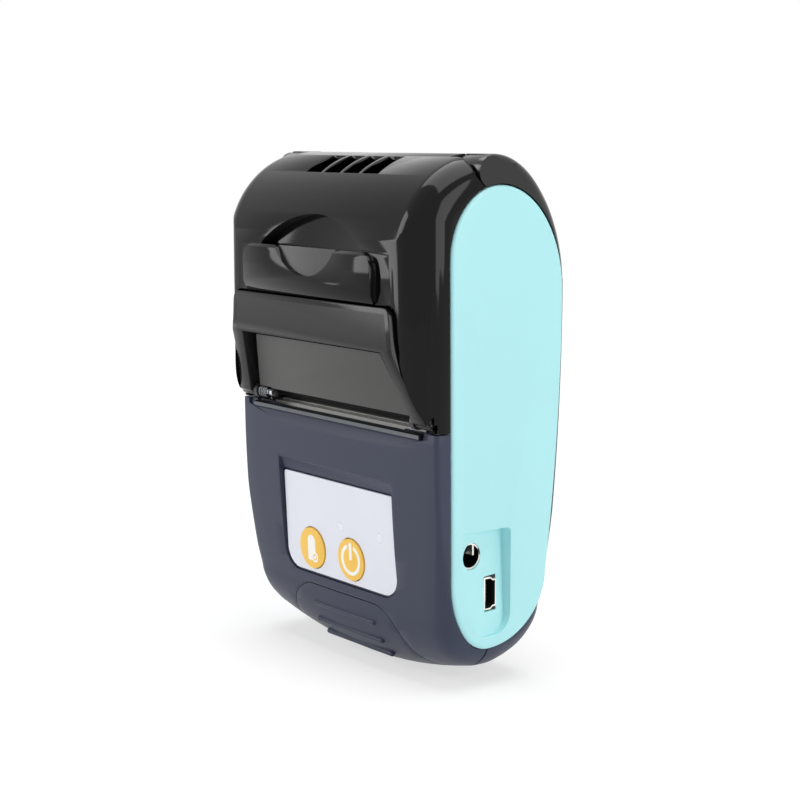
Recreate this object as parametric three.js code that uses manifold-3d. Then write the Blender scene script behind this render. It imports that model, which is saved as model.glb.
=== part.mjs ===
// Portable thermal receipt printer for 58 mm paper, standing upright on its rounded foot.
// Millimetres, +Z up, the front with the label and keys faces -Y, the sockets are on the +X side.
// The origin is in the middle of the outer box, on the surface that the printer stands on.

import * as THREE from "three";
import { mergeVertices } from "three/addons/utils/BufferGeometryUtils.js";
import Module from "manifold-3d";

const wasm = await Module();
wasm.setup();

// The two sizes that the rest follows
const bodyHeight = 115;
const shellHalfWidth = 36.9;

// Heights as shares of the body's height, and widths as shares of the shell's half width
const rearCrownHeightShare = 0.739130;
const footCornerHeightShare = 0.313043;
const crownRadiusHeightShare = 0.186957;
const bellyHeightShare = 0.417391;
const tearHeightShare = 0.495652;
const waistHeightShare = 0.295652;
const footSoftHeightShare = 0.182609;
const panelPeakHeightShare = 0.944348;
const panelShoulderFrontHeightShare = 0.808696;
const panelShoulderRearHeightShare = 0.739130;
const usbHeightShare = 0.182609;
const lidBulgeHeightShare = 0.582609;
const padTopHeightShare = 0.822609;
const padBottomHeightShare = 0.728261;
const moonHeightShare = 0.054783;
const scoopHeightShare = 0.062609;
const leverTopHeightShare = 0.725217;
const leverBarBottomHeightShare = 0.644348;
const slotPanelTopHeightShare = 0.639130;
const labelTopHeightShare = 0.360870;
const labelBottomHeightShare = 0.162609;
const keysHeightShare = 0.212609;
const lampsHeightShare = 0.272174;
const gripTopHeightShare = 0.133043;
const coverTopHeightShare = 0.556522;
const batteryHeightShare = 0.330435;
const batteryLengthHeightShare = 0.373913;
const boardBottomHeightShare = 0.078261;
const rearTopSeamHeightShare = 0.767826;
const upperScrewsHeightShare = 0.608696;
const lowerScrewsHeightShare = 0.234783;
const padWidthShare = 0.650407;
const moonWidthShare = 0.308943;
const scoopWidthShare = 0.523035;
const ventPitchWidthShare = 0.189702;
const labelWidthShare = 0.566396;
const feedKeyWidthShare = 0.287263;
const powerKeyWidthShare = 0.119241;
const leftLampWidthShare = 0.016260;
const rightLampWidthShare = 0.409214;
const headSpringWidthShare = 0.487805;

// Whole body: side profile in Y and Z, an ellipse over a smaller round foot
const crownCentreY = 0.85;
const crownRadiusY = 22.05;
const crownFrontY = crownCentreY - crownRadiusY;
const rearDepth = crownCentreY + crownRadiusY;
const rearCrownZ = bodyHeight * rearCrownHeightShare;
const crownRadiusZ = bodyHeight * crownRadiusHeightShare;
const footCentreY = 2.4;
const footRadiusShare = 0.689342;
const footRadius = crownRadiusY * footRadiusShare;
const footFlat = 0.6;
const bellyHeight = bodyHeight * bellyHeightShare;
const tearHeight = bodyHeight * tearHeightShare;
const tearSetBack = 5.3;
const tearFrontY = crownFrontY + tearSetBack;
const waistHeight = bodyHeight * waistHeightShare;
const waistSetBack = 5.4;
const waistY = crownFrontY + waistSetBack;
const bottomCrownRadius = 115;
const frontCrownRadius = 900;
const rearCrownRadius = 600;
const sideCornerRadius = 1.2;
const leastCornerRadius = 0.2;
const rearCornerRadius = 3.5;
const footCornerRadius = 7;
const footCornerTop = bodyHeight * footCornerHeightShare;
const footSoftTop = bodyHeight * footSoftHeightShare;
const crossSteps = 6;
const wall = 2;
const sideWall = 2.2;

// Gaps and helpers for cuts
const gap = 0.3;
const overrun = 10;
const arcSteps = 9;
const fineSteps = 12;
const coarseSteps = 5;

// Side panels, inset in both sides of the body
const panelProud = 0.35;
const panelEdge = 1;
const panelFrontRoom = 9.6;
const panelRearRoom = 3;
const panelFrontY = crownFrontY + panelFrontRoom;
const panelPeak = { y: 2, z: bodyHeight * panelPeakHeightShare };
const panelShoulder = {
  frontZ: bodyHeight * panelShoulderFrontHeightShare,
  rearZ: bodyHeight * panelShoulderRearHeightShare,
  rearY: rearDepth - panelRearRoom,
};
const panelKeel = { y: -0.6, z: 9 };
const panelHipRoom = { front: 10.2, rear: 1.7 };
const panelHip = {
  frontY: crownFrontY + panelHipRoom.front,
  frontZ: 26,
  rearZ: 24.6,
  rearY: footCentreY + footRadius - panelHipRoom.rear,
};

// Socket recess in the right panel
const recessSetBack = 2.3;
const recessWidth = 13.9;
const recessFrontY = panelHip.frontY + recessSetBack;
const recessRearY = recessFrontY + recessWidth;
const recessDepth = 3;
const recessBottomZ = 11.9;
const recessCorner = 4;
const recessFloor = 1.1;
const jackHoleRadius = 2.9;
const jackPinRadius = 0.55;
const jackBody = { length: 11.5, depth: 8, height: 9 };
const jackBoreRadius = 2.1;
const usbSetBack = 9.3;
const usbCentre = { y: recessFrontY + usbSetBack, z: bodyHeight * usbHeightShare };
const jackSetBack = 3.5;
const socketPitch = 9;
const jackCentre = { y: recessFrontY + jackSetBack, z: usbCentre.z + socketPitch };
const recessTopRoom = 5.3;
const recessTopZ = jackCentre.z + recessTopRoom;
const usbShell = { depth: 3.9, height: 7.7, length: 9, wall: 0.4 };
const usbTongueShare = 0.28;

// Lid: the glossy front and top, hinged behind the crown
const lidFootProud = 1.3;
const lidFootY = tearFrontY - lidFootProud;
const lidBulgeRoom = 0.3;
const lidBulge = { y: crownFrontY + lidBulgeRoom, z: bodyHeight * lidBulgeHeightShare };
const lidCornerRadius = 9;
const lidEdgeRadius = 1.4;
const lidCrownEdgeRadius = 6.5;
const hingeY = -0.5;
const hingeDrop = 3.7;
const sideReachRoom = 0.45;
const hingeZ = bodyHeight - hingeDrop;
const barrelRadius = 3.5;
const knuckleLength = 8.8;
const barrelHalfLength = shellHalfWidth - knuckleLength;
const knuckleRadius = 3.4;
const hingePinRadius = 1;
const hingeSweepRadius = 5.4;
const padHalfWidth = shellHalfWidth * padWidthShare;
const padProud = 1.7;
const padFrontY = crownFrontY - padProud;
const padTopZ = bodyHeight * padTopHeightShare;
const padBottomZ = bodyHeight * padBottomHeightShare;
const padChamfer = 2.3;
const padCorner = 3.5;
const moonHalfWidth = shellHalfWidth * moonWidthShare;
const moonDepthZ = bodyHeight * moonHeightShare;
const moonCut = 1.3;
const scoopHalfWidth = shellHalfWidth * scoopWidthShare;
const scoopHeight = bodyHeight * scoopHeightShare;
const scoopCut = 2.4;
const ventCount = 4;
const ventPitch = shellHalfWidth * ventPitchWidthShare;
const ventWeb = 1.2;
const ventFrontRoom = 9.6;
const ventLength = 6;
const ventFrontY = crownFrontY + ventFrontRoom;
const ventRearY = ventFrontY + ventLength;

// Release lever: a bar with two flared arms, hooked over pins at the tear line
const leverPivotSetBack = 1.3;
const leverPivotY = tearFrontY + leverPivotSetBack;
const leverPivotRise = 2.3;
const leverPivotZ = tearHeight + leverPivotRise;
const leverBossRadius = 1.5;
const leverPinRadius = 0.9;
const leverTopZ = bodyHeight * leverTopHeightShare;
const leverBarBottomZ = bodyHeight * leverBarBottomHeightShare;
const leverSideGap = 0.9;
const slotPanelBottomGap = 2.3;
const pinBehindSpring = 4.5;
const pinBehind = 2.1;
const leverFlare = 6.4;
const leverFootWidth = 5.2;
const leverArmWidth = 3.3;
const leverFootHalf = shellHalfWidth - leverSideGap;
const leverTopHalf = leverFootHalf - leverFlare;
const leverInnerTopHalf = leverTopHalf - leverArmWidth;
const leverInnerFootHalf = leverFootHalf - leverFootWidth;
const leverPinInnerX = { left: leverInnerFootHalf - slotPanelBottomGap - pinBehindSpring, right: leverInnerFootHalf - pinBehind };
const leverTopProud = 1.1;
const leverBarProud = 0.7;
const leverFrontTopY = crownFrontY - leverTopProud;
const leverFrontBarY = crownFrontY - leverBarProud;
const leverFootProud = 0.9;
const leverFrontFootY = tearFrontY - leverFootProud;
const leverThickness = 3.4;
const leverCorner = 2.6;
const leverSeatWall = 1.5;
const leverArmClear = 0.4;

// Panel between the lever arms, above the paper slot
const slotPanelTopZ = bodyHeight * slotPanelTopHeightShare;
const slotPanelBottomRise = 3.4;
const slotPanelBottomZ = tearHeight + slotPanelBottomRise;
const slotPanelSetBack = 0.2;
const slotPanelBottomY = tearFrontY + slotPanelSetBack;
const slotPanelBehindBar = 1.98;
const slotPanelTopY = leverFrontBarY + slotPanelBehindBar;
const slotPanelTopGap = 2.7;
const slotPanelBottomHalf = leverInnerFootHalf - slotPanelBottomGap;
const slotPanelTopHalf = leverInnerTopHalf - slotPanelTopGap;
const slotPanelThickness = 1.5;

// Label with two keys and two lamps, tilted with the front face
const labelHalfWidth = shellHalfWidth * labelWidthShare;
const labelTopZ = bodyHeight * labelTopHeightShare;
const labelBottomZ = bodyHeight * labelBottomHeightShare;
const labelSetBack = { top: 1.7, bottom: 2.9 };
const labelTopY = tearFrontY + labelSetBack.top;
const labelBottomY = tearFrontY + labelSetBack.bottom;
const labelThickness = 0.45;
const labelCorner = 4.6;
const labelTopCorner = 0.8;
const pocketMargin = 0.6;
const pocketTopMargin = 2.8;
const pocketWall = 1.8;
const keyRadiusShare = 0.210526;
const keyCentres = {
  feed: { x: -shellHalfWidth * feedKeyWidthShare, z: bodyHeight * keysHeightShare },
  power: { x: shellHalfWidth * powerKeyWidthShare, z: bodyHeight * keysHeightShare },
};
const keyRadius = (labelTopZ - labelBottomZ) * keyRadiusShare;
const keyProud = 0.35;
const keyFlange = 0.9;
const keyFlangeThickness = 0.6;
const keyStemRadius = 1.5;
const keyTravel = 0.5;
const lampCentres = {
  left: { x: shellHalfWidth * leftLampWidthShare, z: bodyHeight * lampsHeightShare },
  right: { x: shellHalfWidth * rightLampWidthShare, z: bodyHeight * lampsHeightShare },
};
const lampRadius = 1.1;

// Battery cover: wraps from the thumb grip under the foot and up the back
const gripTopZ = bodyHeight * gripTopHeightShare;
const coverSideRoom = 10.4;
const coverHalfWidth = shellHalfWidth - coverSideRoom;
const gripTopHalfShare = 0.460377;
const gripTopHalf = coverHalfWidth * gripTopHalfShare;
const gripFlareShares = [
  { x: 0.981132, z: 0.228758 },
  { x: 0.924528, z: 0.359477 },
  { x: 0.860377, z: 0.529412 },
  { x: 0.777358, z: 0.718954 },
  { x: 0.562264, z: 0.941176 },
];
const coverTopZ = bodyHeight * coverTopHeightShare;
const coverBend = -2;
const ridgeWidthShares = [0.445283, 0.475472, 0.479245];
const ridgeHeightShares = [0.732026, 0.450980, 0.222222];
const ridgeSize = 1.3;
const ridgeProud = 0.45;

// Battery and its tray, leaning with the back
const batteryRearRoom = 3.42;
const batteryDepthShare = 0.375546;
const batteryCentreZ = bodyHeight * batteryHeightShare;
const batterySideRoom = 2.4;
const batterySize = { x: 2 * (coverHalfWidth - batterySideRoom), y: rearDepth * batteryDepthShare, z: bodyHeight * batteryLengthHeightShare };
const trayWall = 1.2;
const trayDepthShare = 0.8;

// Paper roll, its bin and the web of paper
const paperSideRoom = 8.15;
const paperWidth = 2 * (shellHalfWidth - paperSideRoom);
const rollRoom = 6.55;
const rollHingeRoom = 5.2;
const rollRadius = crownRadiusY - rollRoom;
const rollDrop = rollRadius + rollHingeRoom;
const rollCentre = { y: 1.4, z: hingeZ - rollDrop };
const coreRadius = 6.1;
const coreWall = 1;
const hubRadius = 5.8;
const hubLength = 2.8;
const binWall = 1.2;
const binSideRoom = 1.85;
const binHalfWidth = paperWidth / 2 + binSideRoom;
const webThickness = 0.15;
const webGap = 0.12;
const webSetBack = 6.7;
const webEndY = tearFrontY + webSetBack;

// Print mechanism
const platenRise = 5;
const platenSetBack = 8.4;
const platenCentre = { y: tearFrontY + platenSetBack, z: tearHeight + platenRise };
const platenRadius = 4.75;
const platenOverlap = 0.05;
const platenHalfLength = paperWidth / 2 + platenOverlap;
const platenShaftRadius = 1.5;
const bushRadius = 2.6;
const frameSideRoom = 2.15;
const frameInnerX = paperWidth / 2 + frameSideRoom;
const frameWall = 1.2;
const frameSetBack = { front: 5.3, foot: 4.4 };
const frameBatteryRoom = 7.8;
const headTopGap = 0.37;
const headSideRoom = 0.25;
const headSize = { halfX: paperWidth / 2 - headSideRoom, y: 7.9, z: 1 };
const headSetBack = 4.6;
const headFrontY = tearFrontY + headSetBack;
const sinkSize = { halfX: paperWidth / 2 + headSideRoom, y: 8.6, z: 2.2 };
const headSpringRadius = 2.2;
const headSpringHeight = 3.5;
const headSpringX = shellHalfWidth * headSpringWidthShare;
const motorDrop = 15.7;
const motorSetBack = 10.4;
const motorCentre = { y: tearFrontY + motorSetBack, z: tearHeight - motorDrop };
const motorRadius = 6.25;
const motorLength = 14.6;
const tearBarSideRoom = 5.6;
const tearBar = { halfX: shellHalfWidth - tearBarSideRoom, depth: 1.5, height: 1.1 };

// Gear train on the left: platen gear, idler and motor pinion
const gearModule = 0.6;
const gearTeeth = { platen: 16, idler: 26, pinion: 10 };
const gearWidth = 1.6;
const gearSideRoom = 2.8;
const gearOuterX = shellHalfWidth - gearSideRoom;
const toothShares = { root: 0.26, pitch: 0.18, tip: 0.09, addendum: 0.8, dedendum: 1.15 };
const idlerStudRadius = 1;
const motorShaftRadius = 0.9;

// Main board
const boardSetBack = 14.55;
const boardRearY = tearFrontY + boardSetBack;
const boardThickness = 1.6;
const boardBottomZ = bodyHeight * boardBottomHeightShare;
const boardTopGap = 0.65;
const boardTopZ = motorCentre.z - motorRadius - boardTopGap;
const boardSideRoom = { left: 6.9, right: 4, notch: 14.3 };
const boardLeftX = boardSideRoom.left - shellHalfWidth;
const boardRightX = shellHalfWidth - boardSideRoom.right;
const boardNotchDrop = 4.8;
const boardNotch = { x: shellHalfWidth - boardSideRoom.notch, z: jackCentre.z - boardNotchDrop };
const switchSize = 6;
const switchDepth = 3.5;
const plungerLength = 1;
const plungerRadius = 1.6;

// Screws in the back, and the height where the black rear top meets the navy back
const rearTopSeamZ = bodyHeight * rearTopSeamHeightShare;
const splitY = 0;
const screwHeadRadius = 2.3;
const screwHead = 1.3;
const screwShankRadius = 1.1;
const screwLength = 8;
const screwBossRadius = 2.9;
const screwSideRoom = 6.7;
const screwX = shellHalfWidth - screwSideRoom;
const screwHeights = {
  upper: bodyHeight * upperScrewsHeightShare,
  lower: bodyHeight * lowerScrewsHeightShare,
};

const crownCentreZ = bodyHeight - crownRadiusZ;
const footCentreZ = footRadius - footFlat;
const shellInnerX = shellHalfWidth - sideWall;
const panelOuterX = shellHalfWidth + panelProud;
const halfTurn = Math.PI;
const quarterTurn = Math.PI / 2;

// Colours, roughness and metalness as seen in the photograph
const plastic = (color, roughness) => new THREE.MeshStandardMaterial({ color, roughness, metalness: 0 });
const metal = (color, roughness) => new THREE.MeshStandardMaterial({ color, roughness, metalness: 1 });

const group = new THREE.Group();

// Solids from geometries, and meshes from solids
function solid(geometry) {
  const bare = geometry.clone();
  bare.deleteAttribute("normal");
  bare.deleteAttribute("uv");
  const merged = mergeVertices(bare, 1e-4);
  return new wasm.Manifold(new wasm.Mesh({
    numProp: 3,
    vertProperties: new Float32Array(merged.attributes.position.array),
    triVerts: new Uint32Array(merged.index.array),
  }));
}

function addMesh(name, body, material, parent = group) {
  const data = body.getMesh();
  const geometry = new THREE.BufferGeometry();
  geometry.setAttribute("position", new THREE.BufferAttribute(data.vertProperties, 3));
  geometry.setIndex(new THREE.BufferAttribute(data.triVerts, 1));
  geometry.computeVertexNormals();
  const mesh = new THREE.Mesh(geometry, material);
  mesh.name = name;
  parent.add(mesh);
  return mesh;
}

function union(...bodies) {
  return bodies.reduce((sum, body) => sum.add(body));
}

// An outline in Y and Z carried along X, in X and Z carried along Y, or in X and Y carried along Z
const axesAlongX = new THREE.Matrix4().makeBasis(
  new THREE.Vector3(0, 1, 0), new THREE.Vector3(0, 0, 1), new THREE.Vector3(1, 0, 0));
const axesAlongY = new THREE.Matrix4().makeBasis(
  new THREE.Vector3(1, 0, 0), new THREE.Vector3(0, 0, 1), new THREE.Vector3(0, -1, 0));

function extruded(shape, length, steps, bevel) {
  const options = { depth: length - 2 * bevel, curveSegments: steps, bevelEnabled: bevel > 0 };
  if (bevel > 0) {
    options.bevelSize = bevel;
    options.bevelThickness = bevel;
    options.bevelOffset = -bevel;
    options.bevelSegments = Math.max(2, Math.round(bevel));
  }
  return new THREE.ExtrudeGeometry(shape, options).translate(0, 0, bevel);
}

function alongX(shape, fromX, toX, steps = arcSteps, bevel = 0) {
  return solid(extruded(shape, toX - fromX, steps, bevel).applyMatrix4(axesAlongX).translate(fromX, 0, 0));
}

function alongY(shape, fromY, toY, steps = arcSteps, bevel = 0) {
  return solid(extruded(shape, toY - fromY, steps, bevel).applyMatrix4(axesAlongY).translate(0, toY, 0));
}

function box(fromX, toX, fromY, toY, fromZ, toZ) {
  const geometry = new THREE.BoxGeometry(toX - fromX, toY - fromY, toZ - fromZ);
  return solid(geometry.translate((fromX + toX) / 2, (fromY + toY) / 2, (fromZ + toZ) / 2));
}

function rodX(radius, fromX, toX, y, z, sides = 24) {
  const geometry = new THREE.CylinderGeometry(radius, radius, toX - fromX, sides);
  return solid(geometry.rotateZ(quarterTurn).translate((fromX + toX) / 2, y, z));
}

function rodY(radius, fromY, toY, x, z, sides = 20) {
  const geometry = new THREE.CylinderGeometry(radius, radius, toY - fromY, sides);
  return solid(geometry.translate(x, (fromY + toY) / 2, z));
}

function polygon(points) {
  return new THREE.Shape(points.map(([u, v]) => new THREE.Vector2(u, v)));
}

// A rectangle with one radius on its upper and one on its lower corners
function roundedPlate(halfU, bottomV, topV, lowerRadius, upperRadius) {
  const shape = new THREE.Shape();
  shape.moveTo(-halfU + lowerRadius, bottomV);
  shape.lineTo(halfU - lowerRadius, bottomV);
  shape.absarc(halfU - lowerRadius, bottomV + lowerRadius, lowerRadius, -quarterTurn, 0);
  shape.absarc(halfU - upperRadius, topV - upperRadius, upperRadius, 0, quarterTurn);
  shape.absarc(-halfU + upperRadius, topV - upperRadius, upperRadius, quarterTurn, halfTurn);
  shape.absarc(-halfU + lowerRadius, bottomV + lowerRadius, lowerRadius, halfTurn, halfTurn + quarterTurn);
  return shape;
}

// Side profile of the body, moved inwards by an inset
function bodyProfile(inset) {
  const foot = footRadius - inset;
  const shape = new THREE.Shape();
  shape.absarc(footCentreY, footCentreZ, foot, -halfTurn, 0);
  shape.quadraticCurveTo(
    rearDepth - inset, bellyHeight,
    rearDepth - inset, rearCrownZ);
  shape.absellipse(crownCentreY, rearCrownZ, crownRadiusY - inset, bodyHeight - rearCrownZ - inset, 0, quarterTurn);
  shape.absellipse(
    crownCentreY, crownCentreZ, crownRadiusY - inset, crownRadiusZ - inset, quarterTurn, halfTurn);
  shape.lineTo(tearFrontY + inset, tearHeight);
  shape.quadraticCurveTo(waistY + inset, waistHeight, footCentreY - foot, footCentreZ);
  return shape;
}

// The body as rings of profile points across the width: the underside lifts and the front falls
// back towards the sides, and the last rings round the corner, more so around the foot.
const floorPlane = box(-bodyHeight, bodyHeight, -bodyHeight, bodyHeight, 0, 2 * bodyHeight);

function bodyEnvelope(inset, sideInset) {
  const halfWidth = shellHalfWidth - sideInset;
  const unit = 1;
  const profile = bodyProfile(inset).getPoints(arcSteps);
  const shrunk = bodyProfile(inset + unit).getPoints(arcSteps);
  const rings = [];
  const cornerSteps = 3;
  for (let step = 0; step <= cornerSteps; step += 1) {
    rings.push({ corner: quarterTurn * (1 - step / cornerSteps), share: 1 });
  }
  for (let step = 1; step <= crossSteps; step += 1) {
    rings.push({ corner: 0, share: 1 - 2 * step / crossSteps });
  }
  for (let step = 1; step <= cornerSteps; step += 1) {
    rings.push({ corner: quarterTurn * step / cornerSteps, share: -1 });
  }
  const positions = [];
  const count = profile.length - 1;
  for (const { corner, share } of rings) {
    for (let index = 0; index < count; index += 1) {
      const start = profile[index];
      const low = THREE.MathUtils.clamp(1 - start.y / footSoftTop, 0, 1);
      const sideRadius = THREE.MathUtils.lerp(
        sideCornerRadius, rearCornerRadius, THREE.MathUtils.clamp(start.x / rearDepth, 0, 1));
      const cornerLow = THREE.MathUtils.clamp(1 - start.y / footCornerTop, 0, 1);
      const outerRadius = THREE.MathUtils.lerp(sideRadius, footCornerRadius, cornerLow);
      const radius = Math.max(outerRadius - inset, leastCornerRadius);
      const away = (halfWidth - radius * (1 - Math.sin(corner))) * share;
      const pull = radius * (1 - Math.cos(corner)) / unit;
      const y = THREE.MathUtils.lerp(start.x, shrunk[index].x, pull);
      const z = THREE.MathUtils.lerp(start.y, shrunk[index].y, pull);
      const frontShare = THREE.MathUtils.clamp(-y / footRadius, 0, 1);
      const rearShare = THREE.MathUtils.clamp(y / footRadius, 0, 1);
      const frontFall = frontShare * away ** 2 / (2 * frontCrownRadius);
      const rearFall = rearShare * away ** 2 / (2 * rearCrownRadius);
      positions.push(
        away,
        y + frontFall - rearFall,
        z + low * away ** 2 / (2 * bottomCrownRadius));
    }
  }
  const index = [];
  for (let ring = 0; ring < rings.length - 1; ring += 1) {
    for (let step = 0; step < count; step += 1) {
      const next = (step + 1) % count;
      const [near, nearNext] = [ring * count + step, ring * count + next];
      index.push(near, near + count, nearNext, nearNext, near + count, nearNext + count);
    }
  }
  for (const [ring, side] of [[0, 1], [rings.length - 1, -1]]) {
    const first = ring * count;
    const hub = positions.length / 3;
    positions.push(positions[first * 3], crownCentreY, bellyHeight);
    for (let step = 0; step < count; step += 1) {
      const next = first + (step + 1) % count;
      index.push(hub, side > 0 ? first + step : next, side > 0 ? next : first + step);
    }
  }
  const geometry = new THREE.BufferGeometry();
  geometry.setAttribute("position", new THREE.Float32BufferAttribute(positions, 3));
  geometry.setIndex(index);
  return solid(geometry);
}

const bodyOuter = bodyEnvelope(0, 0).intersect(floorPlane);
const bodyInner = bodyEnvelope(wall, sideWall);
const bodyShell = bodyOuter.subtract(bodyInner);

// Outline of the side panels, four quarter ellipses joined by a straight front and a bowed back
function panelOutline(margin) {
  const shape = new THREE.Shape();
  const peakZ = panelPeak.z + margin;
  const keelZ = panelKeel.z - margin;
  const front = panelFrontY - margin;
  const frontFoot = panelHip.frontY - margin;
  const rearTop = panelShoulder.rearY + margin;
  const rearFoot = panelHip.rearY + margin;
  shape.moveTo(frontFoot, panelHip.frontZ);
  shape.absellipse(
    panelKeel.y, panelHip.frontZ, panelKeel.y - frontFoot, panelHip.frontZ - keelZ,
    halfTurn, halfTurn + quarterTurn);
  shape.absellipse(
    panelKeel.y, panelHip.rearZ, rearFoot - panelKeel.y, panelHip.rearZ - keelZ, -quarterTurn, 0);
  shape.quadraticCurveTo(rearTop, (panelHip.rearZ + panelShoulder.rearZ) / 2, rearTop, panelShoulder.rearZ);
  shape.absellipse(
    panelPeak.y, panelShoulder.rearZ, rearTop - panelPeak.y, peakZ - panelShoulder.rearZ, 0, quarterTurn);
  shape.absellipse(
    panelPeak.y, panelShoulder.frontZ, panelPeak.y - front, peakZ - panelShoulder.frontZ, quarterTurn, halfTurn);
  return shape;
}

const panelWindow = alongX(panelOutline(gap), -panelOuterX - overrun, panelOuterX + overrun);

// Side panels, with the socket recess in the right one
const teal = plastic(0xb2e9ec, 0.42);

function sidePanel(side) {
  const inner = shellInnerX;
  const body = alongX(panelOutline(0), inner - panelEdge, panelOuterX, arcSteps, panelEdge)
    .intersect(box(inner, panelOuterX + overrun, -bodyHeight, bodyHeight, 0, bodyHeight));
  return side > 0 ? body : body.mirror([1, 0, 0]);
}

const recessSlope = recessDepth / (recessRearY - recessFrontY);

function recessWedge(sink, margin) {
  const plan = polygon([
    [panelOuterX + overrun, recessFrontY - margin],
    [panelOuterX - sink, recessFrontY - margin],
    [panelOuterX - sink - recessDepth - margin * recessSlope, recessRearY + margin],
    [panelOuterX + overrun, recessRearY + margin],
  ]);
  const wedge = solid(new THREE.ExtrudeGeometry(plan, { depth: bodyHeight, bevelEnabled: false }));
  const middleY = (recessFrontY + recessRearY) / 2;
  const halfY = (recessRearY - recessFrontY) / 2 + margin;
  const outline = roundedPlate(halfY, recessBottomZ - margin, recessTopZ + margin, recessCorner, panelEdge);
  const geometry = extruded(outline, shellHalfWidth, coarseSteps, 0).applyMatrix4(axesAlongX);
  return wedge.intersect(solid(geometry.translate(0, middleY, 0).translate(panelOuterX - shellHalfWidth / 2, 0, 0)));
}

const jackHole = rodX(jackHoleRadius, 0, panelOuterX + overrun, jackCentre.y, jackCentre.z);

function usbBox(margin, fromX, toX) {
  const halfY = usbShell.depth / 2 + margin;
  const halfZ = usbShell.height / 2 + margin;
  return box(fromX, toX, usbCentre.y - halfY, usbCentre.y + halfY, usbCentre.z - halfZ, usbCentre.z + halfZ);
}

const recessBack = recessWedge(recessFloor, recessFloor)
  .intersect(box(shellInnerX - recessDepth, panelOuterX - panelEdge, -bodyHeight, bodyHeight, 0, bodyHeight))
  .intersect(alongX(panelOutline(0), 0, panelOuterX));
const rightPanel = sidePanel(1)
  .add(recessBack)
  .subtract(recessWedge(0, 0))
  .subtract(jackHole)
  .subtract(usbBox(gap, 0, panelOuterX + overrun));
addMesh("side_panel_right", rightPanel, teal);
addMesh("side_panel_left", sidePanel(-1), teal);

// Label frame: X across, Y into the body, Z up along the label, its origin in the label's face
const labelLean = Math.atan2(labelBottomY - labelTopY, labelTopZ - labelBottomZ);
const labelMiddle = { y: (labelTopY + labelBottomY) / 2, z: (labelTopZ + labelBottomZ) / 2 };
const labelHalfHeight = (labelTopZ - labelBottomZ) / 2 / Math.cos(labelLean);
const keypad = new THREE.Group();
keypad.position.set(0, labelMiddle.y, labelMiddle.z);
keypad.rotation.x = labelLean;
keypad.updateMatrix();
group.add(keypad);

function labelRodGeometry(radius, fromDepth, toDepth, centre, sides) {
  const geometry = new THREE.CylinderGeometry(radius, radius, toDepth - fromDepth, sides);
  return geometry.translate(centre.x, (fromDepth + toDepth) / 2, (centre.z - labelMiddle.z) / Math.cos(labelLean));
}

function labelRod(radius, fromDepth, toDepth, centre, sides = 24) {
  return solid(labelRodGeometry(radius, fromDepth, toDepth, centre, sides));
}

function bodyRod(radius, fromDepth, toDepth, centre, sides = 24) {
  return solid(labelRodGeometry(radius, fromDepth, toDepth, centre, sides).applyMatrix4(keypad.matrix));
}

function labelPrism(halfWidth, bottom, top, lowerRadius, upperRadius, fromDepth, toDepth) {
  const outline = roundedPlate(halfWidth, bottom, top, lowerRadius, upperRadius);
  return extruded(outline, toDepth - fromDepth, coarseSteps, 0).applyMatrix4(axesAlongY).translate(0, toDepth, 0);
}

const pocketFloor = labelThickness + gap / 2;
const pocket = solid(labelPrism(
  labelHalfWidth + pocketMargin, -labelHalfHeight - pocketMargin, labelHalfHeight + pocketMargin,
  labelCorner + pocketMargin, labelTopCorner, -overrun, pocketFloor).applyMatrix4(keypad.matrix));
const pocketRamp = alongX(polygon([
  [labelTopY, labelTopZ],
  [labelTopY - overrun, labelTopZ],
  [labelTopY - overrun, labelTopZ + overrun],
  [labelTopY - pocketMargin, labelTopZ + pocketTopMargin],
]), -labelHalfWidth - pocketMargin, labelHalfWidth + pocketMargin);
const pocketBack = solid(labelPrism(
  labelHalfWidth + pocketWall, -labelHalfHeight - pocketWall, labelHalfHeight + pocketTopMargin,
  labelCorner, labelTopCorner, -pocketWall / 2, pocketFloor + pocketWall).applyMatrix4(keypad.matrix));

// Battery cover: region in front view with flared sides, plus the back
function coverRegion(margin) {
  const half = coverHalfWidth + margin;
  const top = gripTopZ + margin;
  const flare = gripFlareShares.map(
    ({ x, z }) => new THREE.Vector2(coverHalfWidth * x + margin, gripTopZ * z));
  const mirrored = flare.slice().reverse().map((point) => new THREE.Vector2(-point.x, point.y));
  const shape = new THREE.Shape();
  shape.moveTo(-half, -overrun);
  shape.lineTo(half, -overrun);
  shape.lineTo(half, 0);
  shape.splineThru(flare);
  shape.lineTo(gripTopHalf, top);
  shape.lineTo(-gripTopHalf, top);
  shape.lineTo(mirrored[0].x, mirrored[0].y);
  shape.splineThru([...mirrored.slice(1), new THREE.Vector2(-half, 0)]);
  const front = alongY(shape, -bodyHeight, coverBend + gap, coarseSteps);
  const back = box(-half, half, coverBend, bodyHeight, -overrun, coverTopZ + margin);
  return front.add(back);
}

const coverSkin = bodyShell.intersect(coverRegion(0));

function ridge(height, half) {
  const reach = Math.sqrt(footRadius ** 2 - (footCentreZ - height) ** 2);
  const radius = ridgeSize / 2;
  const geometry = new THREE.CapsuleGeometry(radius, 2 * half - ridgeSize, 3, 8);
  const share = 1 - (radius - ridgeProud) / footRadius;
  return solid(geometry.rotateZ(quarterTurn).translate(
    0, footCentreY - reach * share, footCentreZ - (footCentreZ - height) * share));
}

const ridges = ridgeHeightShares.map(
  (share, index) => ridge(gripTopZ * share, coverHalfWidth * ridgeWidthShares[index]));
const navy = plastic(0x4b4e5c, 0.5);
addMesh("battery_cover", union(coverSkin, ...ridges).intersect(floorPlane), navy);

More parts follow.
